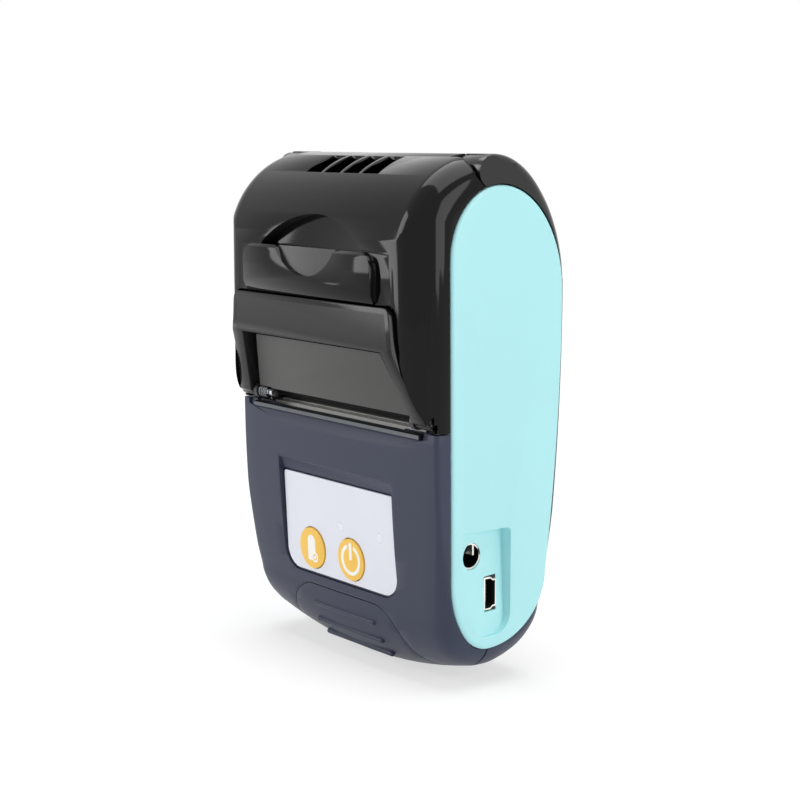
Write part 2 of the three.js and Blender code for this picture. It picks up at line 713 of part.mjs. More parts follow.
// Front shell: navy, below the tear line, with the label pocket and a facet under the tear bar
const frontHalfSpace = box(-bodyHeight, bodyHeight, -bodyHeight, splitY - gap / 2, -overrun, tearHeight);
const tearSeat = box(
  -tearBar.halfX - gap, tearBar.halfX + gap, -bodyHeight, tearFrontY + wall + gap,
  tearHeight - tearBar.height - gap, tearHeight + overrun);
const facetDrop = 6;
const facetDepth = 0.9;
const facetReach = 30;
const facetRadius = (facetReach ** 2 + facetDrop ** 2) / (2 * facetDrop);
const facetOutline = new THREE.Shape().absarc(0, tearHeight - facetDrop + facetRadius, facetRadius, 0, 2 * halfTurn);
const facetPlane = alongX(polygon([
  [tearFrontY + facetDepth, tearHeight],
  [tearFrontY - facetDepth / 2, tearHeight - facetDrop],
  [tearFrontY - overrun, tearHeight - facetDrop],
  [tearFrontY - overrun, tearHeight],
]), -facetReach, facetReach);
const facet = facetPlane.intersect(alongY(facetOutline, -bodyHeight, 0, fineSteps));
let frontShell = bodyShell.intersect(frontHalfSpace)
  .add(pocketBack.intersect(bodyOuter))
  .subtract(panelWindow)
  .subtract(coverRegion(gap))
  .subtract(pocket)
  .subtract(pocketRamp)
  .subtract(facet)
  .subtract(tearSeat);
for (const centre of Object.values(keyCentres)) {
  frontShell = frontShell.subtract(bodyRod(keyRadius + gap, -overrun, overrun, centre));
}
for (const centre of Object.values(lampCentres)) {
  frontShell = frontShell.subtract(bodyRod(lampRadius + gap, -overrun, overrun, centre, 12));
}
addMesh("front_shell", frontShell, navy);

// Rear shell: navy, behind the split, up to the black rear top
const rearHalfSpace = box(-bodyHeight, bodyHeight, splitY + gap / 2, bodyHeight, -overrun, rearTopSeamZ - gap / 2);

function rearSurfaceY(height, away) {
  const share = (height - footCentreZ) / (rearCrownZ - footCentreZ);
  const footRearY = footCentreY + footRadius;
  return rearDepth - (rearDepth - footRearY) * (1 - share) ** 2 - away ** 2 / (2 * rearCrownRadius);
}

const batteryRearShare = (batteryCentreZ - footCentreZ) / (rearCrownZ - footCentreZ);
const rearSwell = rearDepth - footCentreY - footRadius;
const batteryLean = Math.atan2(2 * rearSwell * (1 - batteryRearShare), rearCrownZ - footCentreZ);
const batteryCentre = {
  y: rearSurfaceY(batteryCentreZ, 0) - batterySize.y / 2 - batteryRearRoom,
  z: batteryCentreZ,
};
let rearShell = bodyShell.intersect(rearHalfSpace);
const screwPlaces = [];
for (const side of [-1, 1]) {
  for (const [level, height] of Object.entries(screwHeights)) {
    const name = `back_screw_${level}_${side < 0 ? "left" : "right"}`;
    screwPlaces.push({ name, x: side * screwX, z: height, y: rearSurfaceY(height, screwX) - wall / 2 });
  }
}
for (const place of screwPlaces) {
  rearShell = rearShell.add(rodY(screwBossRadius, place.y - screwLength - wall, place.y, place.x, place.z)
    .intersect(bodyOuter));
}
rearShell = rearShell.subtract(panelWindow).subtract(coverRegion(gap));
for (const place of screwPlaces) {
  const headSeat = place.y - screwHead - gap;
  rearShell = rearShell
    .subtract(rodY(screwHeadRadius + gap, headSeat, place.y + overrun, place.x, place.z))
    .subtract(rodY(screwShankRadius + gap, place.y - bodyHeight, place.y, place.x, place.z));
}
addMesh("rear_shell", rearShell, navy);

const darkSteel = metal(0x6d7076, 0.4);
for (const place of screwPlaces) {
  const head = rodY(screwHeadRadius, place.y - screwHead, place.y, place.x, place.z);
  const shank = rodY(screwShankRadius, place.y - screwLength, place.y - screwHead / 2, place.x, place.z, 12);
  const slotHalf = screwHeadRadius / 6;
  const slot = box(
    place.x - screwHeadRadius, place.x + screwHeadRadius, place.y - screwHead / 2, place.y + overrun,
    place.z - slotHalf, place.z + slotHalf);
  addMesh(place.name, head.add(shank).subtract(slot), darkSteel);
}

// Rear top shell: black, from the seam over the back of the crown, with the two end knuckles
const black = plastic(0x161616, 0.22);
const rearTopSpace = box(-bodyHeight, bodyHeight, hingeY, bodyHeight, rearTopSeamZ + gap / 2, bodyHeight + overrun);
const hingeSweep = rodX(
  hingeSweepRadius, -barrelHalfLength - gap, barrelHalfLength + gap, hingeY, hingeZ);
const hingeBore = rodX(hingePinRadius + gap, -shellInnerX, shellInnerX, hingeY, hingeZ, 16);

const panelPockets = panelWindow.subtract(
  box(gap - shellInnerX, shellInnerX - gap, -bodyHeight, bodyHeight, 0, bodyHeight));

function endKnuckle(side) {
  const inner = barrelHalfLength + gap;
  const fromX = side < 0 ? -shellHalfWidth : inner;
  const toX = side < 0 ? -inner : shellHalfWidth;
  const web = box(
    fromX, toX, hingeY, hingeY + 2 * knuckleRadius, hingeZ - knuckleRadius / 2, hingeZ + knuckleRadius / 2);
  return rodX(knuckleRadius, fromX, toX, hingeY, hingeZ).add(web).subtract(panelPockets);
}

const rearTop = bodyShell.intersect(rearTopSpace)
  .subtract(panelWindow)
  .subtract(hingeSweep)
  .add(endKnuckle(-1))
  .add(endKnuckle(1))
  .subtract(hingeBore);
addMesh("rear_top_shell", rearTop, black);

const steel = metal(0xc9ccd0, 0.25);
const hingePinHalf = shellInnerX - gap;
addMesh("hinge_pin", rodX(hingePinRadius, -hingePinHalf, hingePinHalf, hingeY, hingeZ, 16), steel);

// Lid: glossy front and crown
function lidProfile(inset) {
  const shape = new THREE.Shape();
  shape.moveTo(crownCentreY + crownRadiusY - inset, tearHeight + gap);
  shape.lineTo(crownCentreY + crownRadiusY - inset, crownCentreZ);
  shape.absellipse(crownCentreY, crownCentreZ, crownRadiusY - inset, crownRadiusZ - inset, 0, halfTurn);
  shape.lineTo(lidBulge.y + inset, lidBulge.z);
  shape.quadraticCurveTo(
    lidBulge.y + inset, (lidBulge.z + tearHeight) / 2, lidFootY + inset, tearHeight + gap);
  return shape;
}

// The crown again with a straight front, for the wide rounding along its two ends
function crownLimit(inset, halfWidth) {
  const low = tearHeight - lidCrownEdgeRadius - overrun;
  const shape = new THREE.Shape();
  shape.moveTo(crownCentreY + crownRadiusY - inset, low);
  shape.lineTo(crownCentreY + crownRadiusY - inset, crownCentreZ);
  shape.absellipse(crownCentreY, crownCentreZ, crownRadiusY - inset, crownRadiusZ - inset, 0, halfTurn);
  shape.lineTo(crownCentreY - crownRadiusY + inset, low);
  return alongX(shape, -halfWidth, halfWidth, fineSteps, lidCrownEdgeRadius - inset);
}

// Plan of the lid: wide round corners from the front to the sides
function lidPlan(inset) {
  const half = shellHalfWidth - inset;
  const radius = lidCornerRadius;
  const front = crownCentreY - crownRadiusY + inset;
  const shape = new THREE.Shape();
  shape.moveTo(-half, bodyHeight);
  shape.lineTo(-half, front + radius);
  shape.absarc(-half + radius, front + radius, radius, halfTurn, halfTurn + quarterTurn);
  shape.absarc(half - radius, front + radius, radius, -quarterTurn, 0);
  shape.lineTo(half, bodyHeight);
  return solid(new THREE.ExtrudeGeometry(shape, {
    depth: 2 * bodyHeight, curveSegments: 6, bevelEnabled: false,
  }));
}

const lidOuter = alongX(lidProfile(0), -shellHalfWidth, shellHalfWidth, fineSteps, lidEdgeRadius)
  .intersect(lidPlan(0))
  .intersect(crownLimit(0, shellHalfWidth));
const lidCavity = alongX(lidProfile(wall), -shellInnerX, shellInnerX, arcSteps)
  .intersect(lidPlan(wall))
  .intersect(crownLimit(wall, shellInnerX))
  .add(box(-shellInnerX, shellInnerX, lidFootY + wall, bodyHeight, tearHeight - overrun, tearHeight + wall));

// Raised pad with a chamfered lower edge, its half-moon dent and the scoop above it
const padBackY = crownCentreY - crownRadiusY + wall / 2;
const padProfile = alongX(polygon([
  [padBackY, padBottomZ],
  [padFrontY + padChamfer / 2, padBottomZ],
  [padFrontY, padBottomZ + padChamfer],
  [padFrontY, padTopZ - padChamfer / 4],
  [padFrontY + padChamfer / 4, padTopZ],
  [padBackY, padTopZ],
]), -padHalfWidth, padHalfWidth);
const padFace = alongY(
  roundedPlate(padHalfWidth + gap, padBottomZ - gap, padTopZ + gap, gap + padChamfer / 4, gap + padCorner),
  -bodyHeight, 0, coarseSteps);
const pad = padProfile.intersect(padFace);
const moonRadius = (moonHalfWidth ** 2 + moonDepthZ ** 2) / (2 * moonDepthZ);
const moonDisc = new THREE.Shape().absarc(0, padTopZ - moonDepthZ + moonRadius, moonRadius, 0, 2 * halfTurn);
const moon = alongY(moonDisc, padFrontY - overrun, padFrontY + moonCut, fineSteps)
  .intersect(box(-bodyHeight, bodyHeight, -bodyHeight, 0, 0, padTopZ + overrun));
const scoopRadius = (scoopHalfWidth ** 2 + scoopHeight ** 2) / (2 * scoopHeight);
const scoopDisc = new THREE.Shape().absarc(0, padTopZ + scoopHeight - scoopRadius, scoopRadius, 0, 2 * halfTurn);
const scoopFloorY = crownCentreY - crownRadiusY + scoopCut;
const scoop = alongX(polygon([
  [scoopFloorY, padTopZ],
  [scoopFloorY + scoopCut, padTopZ + scoopHeight],
  [-bodyHeight, padTopZ + scoopHeight],
  [-bodyHeight, padTopZ],
]), -scoopHalfWidth, scoopHalfWidth).intersect(alongY(scoopDisc, -bodyHeight, 0, fineSteps));
const scoopBack = alongX(polygon([
  [scoopFloorY, padTopZ - padCorner],
  [scoopFloorY + wall, padTopZ - padCorner],
  [scoopFloorY + wall, padTopZ],
  [scoopFloorY + scoopCut + wall, padTopZ + scoopHeight],
  [scoopFloorY - wall / 2, padTopZ + scoopHeight],
  [scoopFloorY - wall / 2, padTopZ - padCorner],
]), -scoopHalfWidth, scoopHalfWidth).intersect(lidOuter);

// Lever outline in side view and in front view
const armSlope = (leverFrontFootY - leverFrontBarY) / (leverBarBottomZ - leverPivotZ);

function leverSide(margin) {
  const back = leverThickness + margin;
  const foot = leverPivotZ + leverBossRadius;
  const footFrontY = leverFrontBarY + armSlope * (leverBarBottomZ - foot);
  return polygon([
    [leverFrontTopY - margin * overrun, leverTopZ + margin],
    [leverFrontTopY + back, leverTopZ + margin],
    [leverFrontBarY + back, leverBarBottomZ],
    [Math.max(footFrontY + back, leverPivotY + margin), foot],
    [leverPivotY + margin, leverPivotZ],
    [leverPivotY, leverPivotZ - leverBossRadius - margin],
    [leverFrontFootY - margin * overrun, leverPivotZ - margin],
    [leverFrontBarY - margin * overrun, leverBarBottomZ],
  ]);
}

function leverFace(margin) {
  const drop = leverTopZ - leverPivotZ;
  const flare = (leverFootHalf - leverTopHalf) / drop;
  const bottom = leverPivotZ - leverBossRadius - 2 * margin;
  const footHalf = leverTopHalf + flare * (leverTopZ - bottom) + margin;
  const topHalf = leverTopHalf + margin;
  const top = leverTopZ + margin;
  const shape = new THREE.Shape();
  shape.moveTo(-footHalf, bottom);
  shape.lineTo(footHalf, bottom);
  shape.lineTo(topHalf + flare * leverCorner, top - leverCorner);
  shape.quadraticCurveTo(topHalf, top, topHalf - leverCorner, top);
  shape.lineTo(-topHalf + leverCorner, top);
  shape.quadraticCurveTo(-topHalf, top, -topHalf - flare * leverCorner, top - leverCorner);
  return shape;
}

const leverMouthFlare = (leverInnerFootHalf - leverInnerTopHalf) / (leverBarBottomZ - leverPivotZ);

function leverMouth(topZ, margin) {
  const bottom = leverPivotZ - overrun;
  const foot = leverInnerTopHalf + leverMouthFlare * (leverBarBottomZ - bottom) - margin;
  const top = leverInnerTopHalf + leverMouthFlare * (leverBarBottomZ - topZ) - margin;
  return alongY(polygon([[-foot, bottom], [foot, bottom], [top, topZ], [-top, topZ]]), -bodyHeight, 0);
}

const leverPlan = lidPlan(-gap * 3);
const leverBosses = union(...[-1, 1].map((side) => {
  const inner = binHalfWidth + gap;
  const outer = leverFootHalf - gap;
  return rodX(leverBossRadius, side < 0 ? -outer : inner, side < 0 ? -inner : outer, leverPivotY, leverPivotZ);
}));
const leverBoreReach = leverFootHalf + overrun;
const leverBore = rodX(leverPinRadius + gap, -leverBoreReach, leverBoreReach, leverPivotY, leverPivotZ, 16);
const lever = alongX(leverSide(0), -leverFootHalf - wall, leverFootHalf + wall)
  .intersect(alongY(leverFace(0), -bodyHeight, 0, coarseSteps, 0))
  .intersect(leverPlan)
  .subtract(leverMouth(leverBarBottomZ, 0))
  .add(leverBosses)
  .subtract(leverBore);
addMesh("release_lever", lever, plastic(0x2c2c2c, 0.38));

// Seat for the lever in the lid, and the opening below its bar
const platenSweep = gearModule * (gearTeeth.platen / 2 + toothShares.addendum) + 2 * gap;
const seatCut = alongX(leverSide(leverArmClear), -bodyHeight, bodyHeight)
  .intersect(alongY(leverFace(leverArmClear), -bodyHeight, 0, coarseSteps, 0));
const bossCut = union(...[-1, 1].map((side) => {
  const inner = binHalfWidth;
  const outer = leverFootHalf + gap;
  return rodX(
    leverBossRadius + leverArmClear, side < 0 ? -outer : inner, side < 0 ? -inner : outer,
    leverPivotY, leverPivotZ);
}));
const seatBack = alongX(leverSide(leverArmClear + leverSeatWall), -bodyHeight, bodyHeight)
  .intersect(alongY(leverFace(leverArmClear + leverSeatWall), -bodyHeight, 0, coarseSteps, 0))
  .intersect(lidOuter)
  .intersect(box(
    -bodyHeight, bodyHeight, -bodyHeight, 0, leverPivotZ + leverBossRadius + leverArmClear, bodyHeight))
  .subtract(rodX(platenSweep, -bodyHeight, bodyHeight, platenCentre.y, platenCentre.z));
const lidMouth = leverMouth(slotPanelTopZ + gap, 0)
  .intersect(box(-bodyHeight, bodyHeight, -bodyHeight, platenCentre.y, 0, bodyHeight));

// Vent slots over the crown
const vents = union(...Array.from({ length: ventCount }, (_, index) => {
  const centre = (index - (ventCount - 1) / 2) * ventPitch;
  const half = (ventPitch - ventWeb) / 2;
  return box(centre - half, centre + half, ventFrontY, ventRearY, crownCentreZ, bodyHeight + overrun);
}));

const barrel = rodX(barrelRadius, -barrelHalfLength, barrelHalfLength, hingeY, hingeZ);
const lidFrontSpace = box(-bodyHeight, bodyHeight, -bodyHeight, hingeY, tearHeight + gap, bodyHeight + overrun);
const sideReachY = hingeY - hingeDrop - sideReachRoom;
const sideReach = union(
  box(-bodyHeight, -barrelHalfLength, sideReachY, bodyHeight, hingeZ, bodyHeight + overrun),
  box(barrelHalfLength, bodyHeight, sideReachY, bodyHeight, hingeZ, bodyHeight + overrun));
const lidShell = lidOuter.subtract(lidCavity)
  .add(pad)
  .add(scoopBack)
  .add(seatBack)
  .intersect(lidFrontSpace)
  .subtract(panelWindow)
  .subtract(sideReach)
  .subtract(seatCut)
  .subtract(bossCut)
  .subtract(lidMouth)
  .subtract(box(-bodyHeight, bodyHeight, -bodyHeight, leverPivotY, 0, leverPivotZ))
  .subtract(moon)
  .subtract(scoop)
  .subtract(vents);
const knuckleClearLeft = rodX(knuckleRadius + gap, -bodyHeight, -barrelHalfLength, hingeY, hingeZ);
const knuckleClearRight = rodX(knuckleRadius + gap, barrelHalfLength, bodyHeight, hingeY, hingeZ);
const lid = lidShell
  .subtract(knuckleClearLeft)
  .subtract(knuckleClearRight)
  .add(barrel)
  .subtract(hingeBore);
addMesh("lid", lid, plastic(0x141414, 0.12));

// Panel between the arms, with a lip over the slot
const eyeRadius = leverPinRadius + 3 * gap;
const slotPanelSection = alongX(polygon([
  [slotPanelBottomY, slotPanelBottomZ],
  [slotPanelBottomY + 2 * slotPanelThickness, slotPanelBottomZ],
  [slotPanelBottomY + 2 * slotPanelThickness, slotPanelBottomZ + slotPanelThickness / 2],
  [slotPanelBottomY + slotPanelThickness, slotPanelBottomZ + slotPanelThickness],
  [slotPanelTopY + slotPanelThickness, slotPanelTopZ],
  [slotPanelTopY, slotPanelTopZ],
]), -slotPanelBottomHalf, slotPanelBottomHalf);
const slotPanelFace = alongY(polygon([
  [-slotPanelBottomHalf, slotPanelBottomZ],
  [slotPanelBottomHalf, slotPanelBottomZ],
  [slotPanelTopHalf, slotPanelTopZ],
  [-slotPanelTopHalf, slotPanelTopZ],
]), -bodyHeight, 0);
const springRoom = rodX(
  eyeRadius, -bodyHeight, -leverPinInnerX.left + gap, leverPivotY, leverPivotZ);
const slotPanel = slotPanelSection.intersect(slotPanelFace).subtract(springRoom);
addMesh("lid_slot_panel", slotPanel, plastic(0x4a4a49, 0.55));

// Inner frame of the lid: two cheeks and a rail that carry the platen and the lever pins
const cheekOuter = binHalfWidth - gap;
const cheekInner = cheekOuter - binWall;
const railZ = platenCentre.z + platenRadius + gap;
const frameStandOff = leverThickness + leverArmClear + leverSeatWall + gap;

function behindLever(height) {
  return leverFrontBarY + armSlope * (leverBarBottomZ - height) + frameStandOff;
}

const cheekNeckZ = leverPivotZ + leverBossRadius;
const cheekOutline = polygon([
  [leverPivotY, leverPivotZ - leverBossRadius],
  [platenCentre.y, platenCentre.z - bushRadius],
  [platenCentre.y + bushRadius, platenCentre.z],
  [platenCentre.y + bushRadius / 2, railZ + wall],
  [behindLever(railZ + wall), railZ + wall],
  [behindLever(cheekNeckZ), cheekNeckZ],
  [leverPivotY, cheekNeckZ],
]);
const platenBore = rodX(platenShaftRadius + gap, -bodyHeight, bodyHeight, platenCentre.y, platenCentre.z, 20);
const railFrontY = behindLever(railZ);
const lidRail = box(-cheekOuter, cheekOuter, railFrontY, railFrontY + 2 * wall, railZ, railZ + wall);
const lidFrame = alongX(cheekOutline, -cheekOuter, -cheekInner)
  .add(alongX(cheekOutline, cheekInner, cheekOuter))
  .add(rodX(eyeRadius, -cheekOuter, -cheekInner, leverPivotY, leverPivotZ, 20))
  .add(rodX(eyeRadius, cheekInner, cheekOuter, leverPivotY, leverPivotZ, 20))
  .add(lidRail)
  .subtract(platenBore)
  .subtract(leverBore);
addMesh("lid_inner_frame", lidFrame, plastic(0x202020, 0.5));

const leverPinOuter = leverFootHalf - 2 * gap;
const pinLeft = rodX(leverPinRadius, -leverPinOuter, -leverPinInnerX.left, leverPivotY, leverPivotZ, 16);
const pinRight = rodX(leverPinRadius, leverPinInnerX.right, leverPinOuter, leverPivotY, leverPivotZ, 16);
addMesh("lever_pin_left", pinLeft, steel);
addMesh("lever_pin_right", pinRight, steel);

// Return spring of the lever: one wire wound around the left pin
const springTurns = 4;
const springWire = 0.35;
const springPitch = 0.8;
const springRadius = leverPinRadius + gap + springWire / 2;

class Coil extends THREE.Curve {
  getPoint(share) {
    const angle = share * springTurns * 2 * halfTurn;
    return new THREE.Vector3(
      share * springTurns * springPitch, springRadius * Math.cos(angle), springRadius * Math.sin(angle));
  }
}

const springSection = new THREE.Shape().absarc(0, 0, springWire / 2, 0, 2 * halfTurn);
const springGeometry = new THREE.ExtrudeGeometry(springSection, {
  extrudePath: new Coil(), steps: springTurns * 8, curveSegments: 5, bevelEnabled: false,
});
const springStartX = -cheekInner + gap + springWire / 2;
const coilGap = springPitch - springWire;
console.log(`least gap between the turns of the lever spring: ${coilGap.toFixed(2)} mm`);
addMesh("lever_spring", solid(springGeometry.translate(springStartX, leverPivotY, leverPivotZ)), darkSteel);

// Platen: shaft, rubber roller, drive gear and the two bushes
const rubber = plastic(0x1d1d1e, 0.8);
const shaftRight = frameInnerX + frameWall + gap;
addMesh("platen_shaft", rodX(
  platenShaftRadius, -gearOuterX, shaftRight, platenCentre.y, platenCentre.z, 20), steel);
const roller = rodX(platenRadius, -platenHalfLength, platenHalfLength, platenCentre.y, platenCentre.z, 32)
  .subtract(platenBore);
addMesh("platen_roller", roller, rubber);
const nylon = plastic(0xe6e4dc, 0.5);
for (const [name, side] of [["platen_bush_left", -1], ["platen_bush_right", 1]]) {
  const fromX = side < 0 ? -frameInnerX - frameWall : frameInnerX;
  const bush = rodX(bushRadius, fromX, fromX + frameWall, platenCentre.y, platenCentre.z)
    .subtract(platenBore);
  addMesh(name, bush, nylon);
}

// Gears: short trapezoid teeth with play, the next gear turned so that the teeth mesh at rest
function gearShape(teeth, boreRadius, phase) {
  const pitchAngle = 2 * halfTurn / teeth;
  const pitchRadius = gearModule * teeth / 2;
  const rootRadius = pitchRadius - gearModule * toothShares.dedendum;
  const tipRadius = pitchRadius + gearModule * toothShares.addendum;
  const points = [];
  for (let tooth = 0; tooth < teeth; tooth += 1) {
    const centre = phase + tooth * pitchAngle;
    for (const [radius, share] of [
      [rootRadius, -toothShares.root], [pitchRadius, -toothShares.pitch], [tipRadius, -toothShares.tip],
      [tipRadius, toothShares.tip], [pitchRadius, toothShares.pitch], [rootRadius, toothShares.root],
    ]) {
      const angle = centre + share * pitchAngle;
      points.push(new THREE.Vector2(radius * Math.cos(angle), radius * Math.sin(angle)));
    }
  }
  const shape = new THREE.Shape(points);
  if (boreRadius > 0) {
    shape.holes.push(new THREE.Path().absarc(0, 0, boreRadius, 0, 2 * halfTurn));
  }
  return shape;
}

function gear(teeth, boreRadius, phase, centre) {
  const geometry = extruded(gearShape(teeth, boreRadius, phase), gearWidth, fineSteps, 0);
  return solid(geometry.applyMatrix4(axesAlongX).translate(-gearOuterX, centre.y, centre.z));
}

const reachPlatenIdler = gearModule * (gearTeeth.platen + gearTeeth.idler) / 2;
const reachIdlerPinion = gearModule * (gearTeeth.idler + gearTeeth.pinion) / 2;
const spanY = motorCentre.y - platenCentre.y;
const spanZ = motorCentre.z - platenCentre.z;
const span = Math.hypot(spanY, spanZ);
const alongSpan = (reachPlatenIdler ** 2 - reachIdlerPinion ** 2 + span ** 2) / (2 * span);
const offSpan = Math.sqrt(reachPlatenIdler ** 2 - alongSpan ** 2);
const idlerCentre = {
  y: platenCentre.y + (alongSpan * spanY - offSpan * spanZ) / span,
  z: platenCentre.z + (alongSpan * spanZ + offSpan * spanY) / span,
};
const towardsIdler = Math.atan2(idlerCentre.z - platenCentre.z, idlerCentre.y - platenCentre.y);
const towardsPinion = Math.atan2(motorCentre.z - idlerCentre.z, motorCentre.y - idlerCentre.y);
const idlerPhase = towardsIdler + halfTurn + halfTurn / gearTeeth.idler;
const turnsToPinion = (towardsPinion - idlerPhase) * gearTeeth.idler / (2 * halfTurn);
const leftOver = turnsToPinion - Math.floor(turnsToPinion);
const pinionPhase = towardsPinion + halfTurn + (2 * leftOver + 1) * halfTurn / gearTeeth.pinion;
addMesh("platen_gear", gear(gearTeeth.platen, platenShaftRadius + gap, towardsIdler, platenCentre), nylon);
addMesh("idler_gear", gear(gearTeeth.idler, idlerStudRadius + gap, idlerPhase, idlerCentre), nylon);
const motorRight = -frameInnerX + gap + motorLength;
const shaftSeat = -frameInnerX + gap + 2 * wall;
const pinion = gear(gearTeeth.pinion, 0, pinionPhase, motorCentre)
  .add(rodX(motorShaftRadius, -gearOuterX, shaftSeat - gap, motorCentre.y, motorCentre.z, 16));
addMesh("motor_pinion", pinion, steel);
const motor = rodX(motorRadius, -frameInnerX + gap, motorRight, motorCentre.y, motorCentre.z, 28)
  .subtract(rodX(motorShaftRadius + gap, -frameInnerX, shaftSeat, motorCentre.y, motorCentre.z, 16));
addMesh("stepper_motor", motor, metal(0x9fa3a8, 0.35));

// Print head under the platen: ceramic strip, heat sink and two springs
const ceramicTop = platenCentre.z - platenRadius - headTopGap;
const ceramicBottom = ceramicTop - headSize.z;
const ceramic = box(
  -headSize.halfX, headSize.halfX, headFrontY, headFrontY + headSize.y, ceramicBottom, ceramicTop);
addMesh("print_head", ceramic, plastic(0xdedfe0, 0.35));
const sinkTop = ceramicBottom - gap;
const sinkBottom = sinkTop - sinkSize.z;
const sink = box(-sinkSize.halfX, sinkSize.halfX, headFrontY, headFrontY + sinkSize.y, sinkBottom, sinkTop);
addMesh("head_heat_sink", sink, metal(0xb4b7ba, 0.4));
const headSpringTop = sinkBottom - gap;
const headSpringY = headFrontY + sinkSize.y / 2;
for (const [name, side] of [["head_spring_left", -1], ["head_spring_right", 1]]) {
  const geometry = new THREE.CylinderGeometry(headSpringRadius, headSpringRadius, headSpringHeight, 16);
  geometry.rotateX(quarterTurn);
  geometry.translate(side * headSpringX, headSpringY, headSpringTop - headSpringHeight / 2);
  addMesh(name, solid(geometry), darkSteel);
}

// Mechanism frame: folded steel, two side plates with open slots for the bushes, and a shelf
const shelfTop = headSpringTop - headSpringHeight - gap;
const frameRearY = batteryCentre.y - frameBatteryRoom;
const frameFrontY = tearFrontY + frameSetBack.front;
const frameFootFrontY = tearFrontY + frameSetBack.foot;
const frameTopZ = platenCentre.z + bushRadius + wall;
const frameFootZ = motorCentre.z - motorRadius + wall;
const slotHalf = bushRadius + gap;
const frameOutline = polygon([
  [frameFootFrontY, frameFootZ],
  [frameRearY, frameFootZ],
  [frameRearY, platenCentre.z - wall],
  [platenCentre.y + bushRadius + wall, frameTopZ],
  [platenCentre.y, frameTopZ],
  [platenCentre.y, platenCentre.z + slotHalf],
  [platenCentre.y, platenCentre.z - slotHalf],
  [frameFrontY, platenCentre.z - slotHalf],
  [frameFrontY, shelfTop],
  [frameFootFrontY, shelfTop - wall],
]);
const slotEnd = rodX(slotHalf, -bodyHeight, bodyHeight, platenCentre.y, platenCentre.z);
const studX = -frameInnerX - frameWall;
const mechanismFrame = alongX(frameOutline, -frameInnerX - frameWall, -frameInnerX)
  .add(alongX(frameOutline, frameInnerX, frameInnerX + frameWall))
  .add(box(-frameInnerX - frameWall, frameInnerX + frameWall, frameFrontY, frameRearY, shelfTop - frameWall, shelfTop))
  .subtract(slotEnd)
  .subtract(box(0, bodyHeight, -bodyHeight, bodyHeight, 0, jackCentre.z + jackBody.height / 2 + wall))
  .subtract(rodX(motorShaftRadius + 2 * gap, -bodyHeight, -frameInnerX, motorCentre.y, motorCentre.z, 16))
  .add(rodX(idlerStudRadius, -gearOuterX - gap / 2, studX + frameWall / 2, idlerCentre.y, idlerCentre.z, 16));
addMesh("mechanism_frame", mechanismFrame, metal(0xa9adb2, 0.4));

// Tear bar on the rim of the front shell
const tearFront = tearFrontY + gap;
const tearBlade = alongX(polygon([
  [tearFront + tearBar.height / 2, tearHeight],
  [tearFront, tearHeight - tearBar.height / 3],
  [tearFront, tearHeight - tearBar.height],
  [tearFront + tearBar.depth, tearHeight - tearBar.height],
  [tearFront + tearBar.depth, tearHeight],
]), -tearBar.halfX, tearBar.halfX);
addMesh("tear_bar", tearBlade, metal(0x7d8184, 0.4));

// Paper: roll on its core, and the web from the roll around the platen to the slot
const paper = plastic(0xf1f0ec, 0.7);
const paperHalf = paperWidth / 2;
const rollInner = coreRadius + coreWall;
const roll = rodX(rollRadius, -paperHalf, paperHalf, rollCentre.y, rollCentre.z, 40)
  .subtract(rodX(rollInner + gap, -bodyHeight, bodyHeight, rollCentre.y, rollCentre.z, 28));
addMesh("paper_roll", roll, paper);
const core = rodX(rollInner, -paperHalf, paperHalf, rollCentre.y, rollCentre.z, 28)
  .subtract(rodX(coreRadius, -bodyHeight, bodyHeight, rollCentre.y, rollCentre.z, 28));
addMesh("paper_core", core, plastic(0xb9a07c, 0.8));

const webAtPlaten = platenRadius + webGap;
const webAtRoll = rollRadius + webGap;
const rollSpanY = rollCentre.y - platenCentre.y;
const rollSpanZ = rollCentre.z - platenCentre.z;
const rollSpan = Math.hypot(rollSpanY, rollSpanZ);
const webNormal = Math.atan2(rollSpanZ, rollSpanY) - Math.acos((webAtPlaten - webAtRoll) / rollSpan);

function webPath(offset) {
  const points = [];
  const turnSteps = 8;
  points.push([
    rollCentre.y + (webAtRoll + offset) * Math.cos(webNormal),
    rollCentre.z + (webAtRoll + offset) * Math.sin(webNormal),
  ]);
  for (let step = 0; step <= turnSteps; step += 1) {
    const angle = webNormal + (-quarterTurn - webNormal) * step / turnSteps;
    points.push([
      platenCentre.y + (webAtPlaten + offset) * Math.cos(angle),
      platenCentre.z + (webAtPlaten + offset) * Math.sin(angle),
    ]);
  }
  points.push([webEndY, platenCentre.z - webAtPlaten - offset]);
  return points;
}

const web = alongX(polygon([...webPath(0), ...webPath(webThickness).reverse()]), -paperHalf, paperHalf);
addMesh("paper_web", web, paper);

// Paper bin: sloped floor behind the web, two cheeks and the hubs that carry the roll
const webDirection = { y: Math.sin(webNormal), z: -Math.cos(webNormal) };
const floorOffset = webThickness + 4 * gap;

function onFloor(offset, drop) {
  return [
    rollCentre.y + (webAtRoll + offset) * Math.cos(webNormal) + webDirection.y * drop,
    rollCentre.z + (webAtRoll + offset) * Math.sin(webNormal) + webDirection.z * drop,
  ];
}

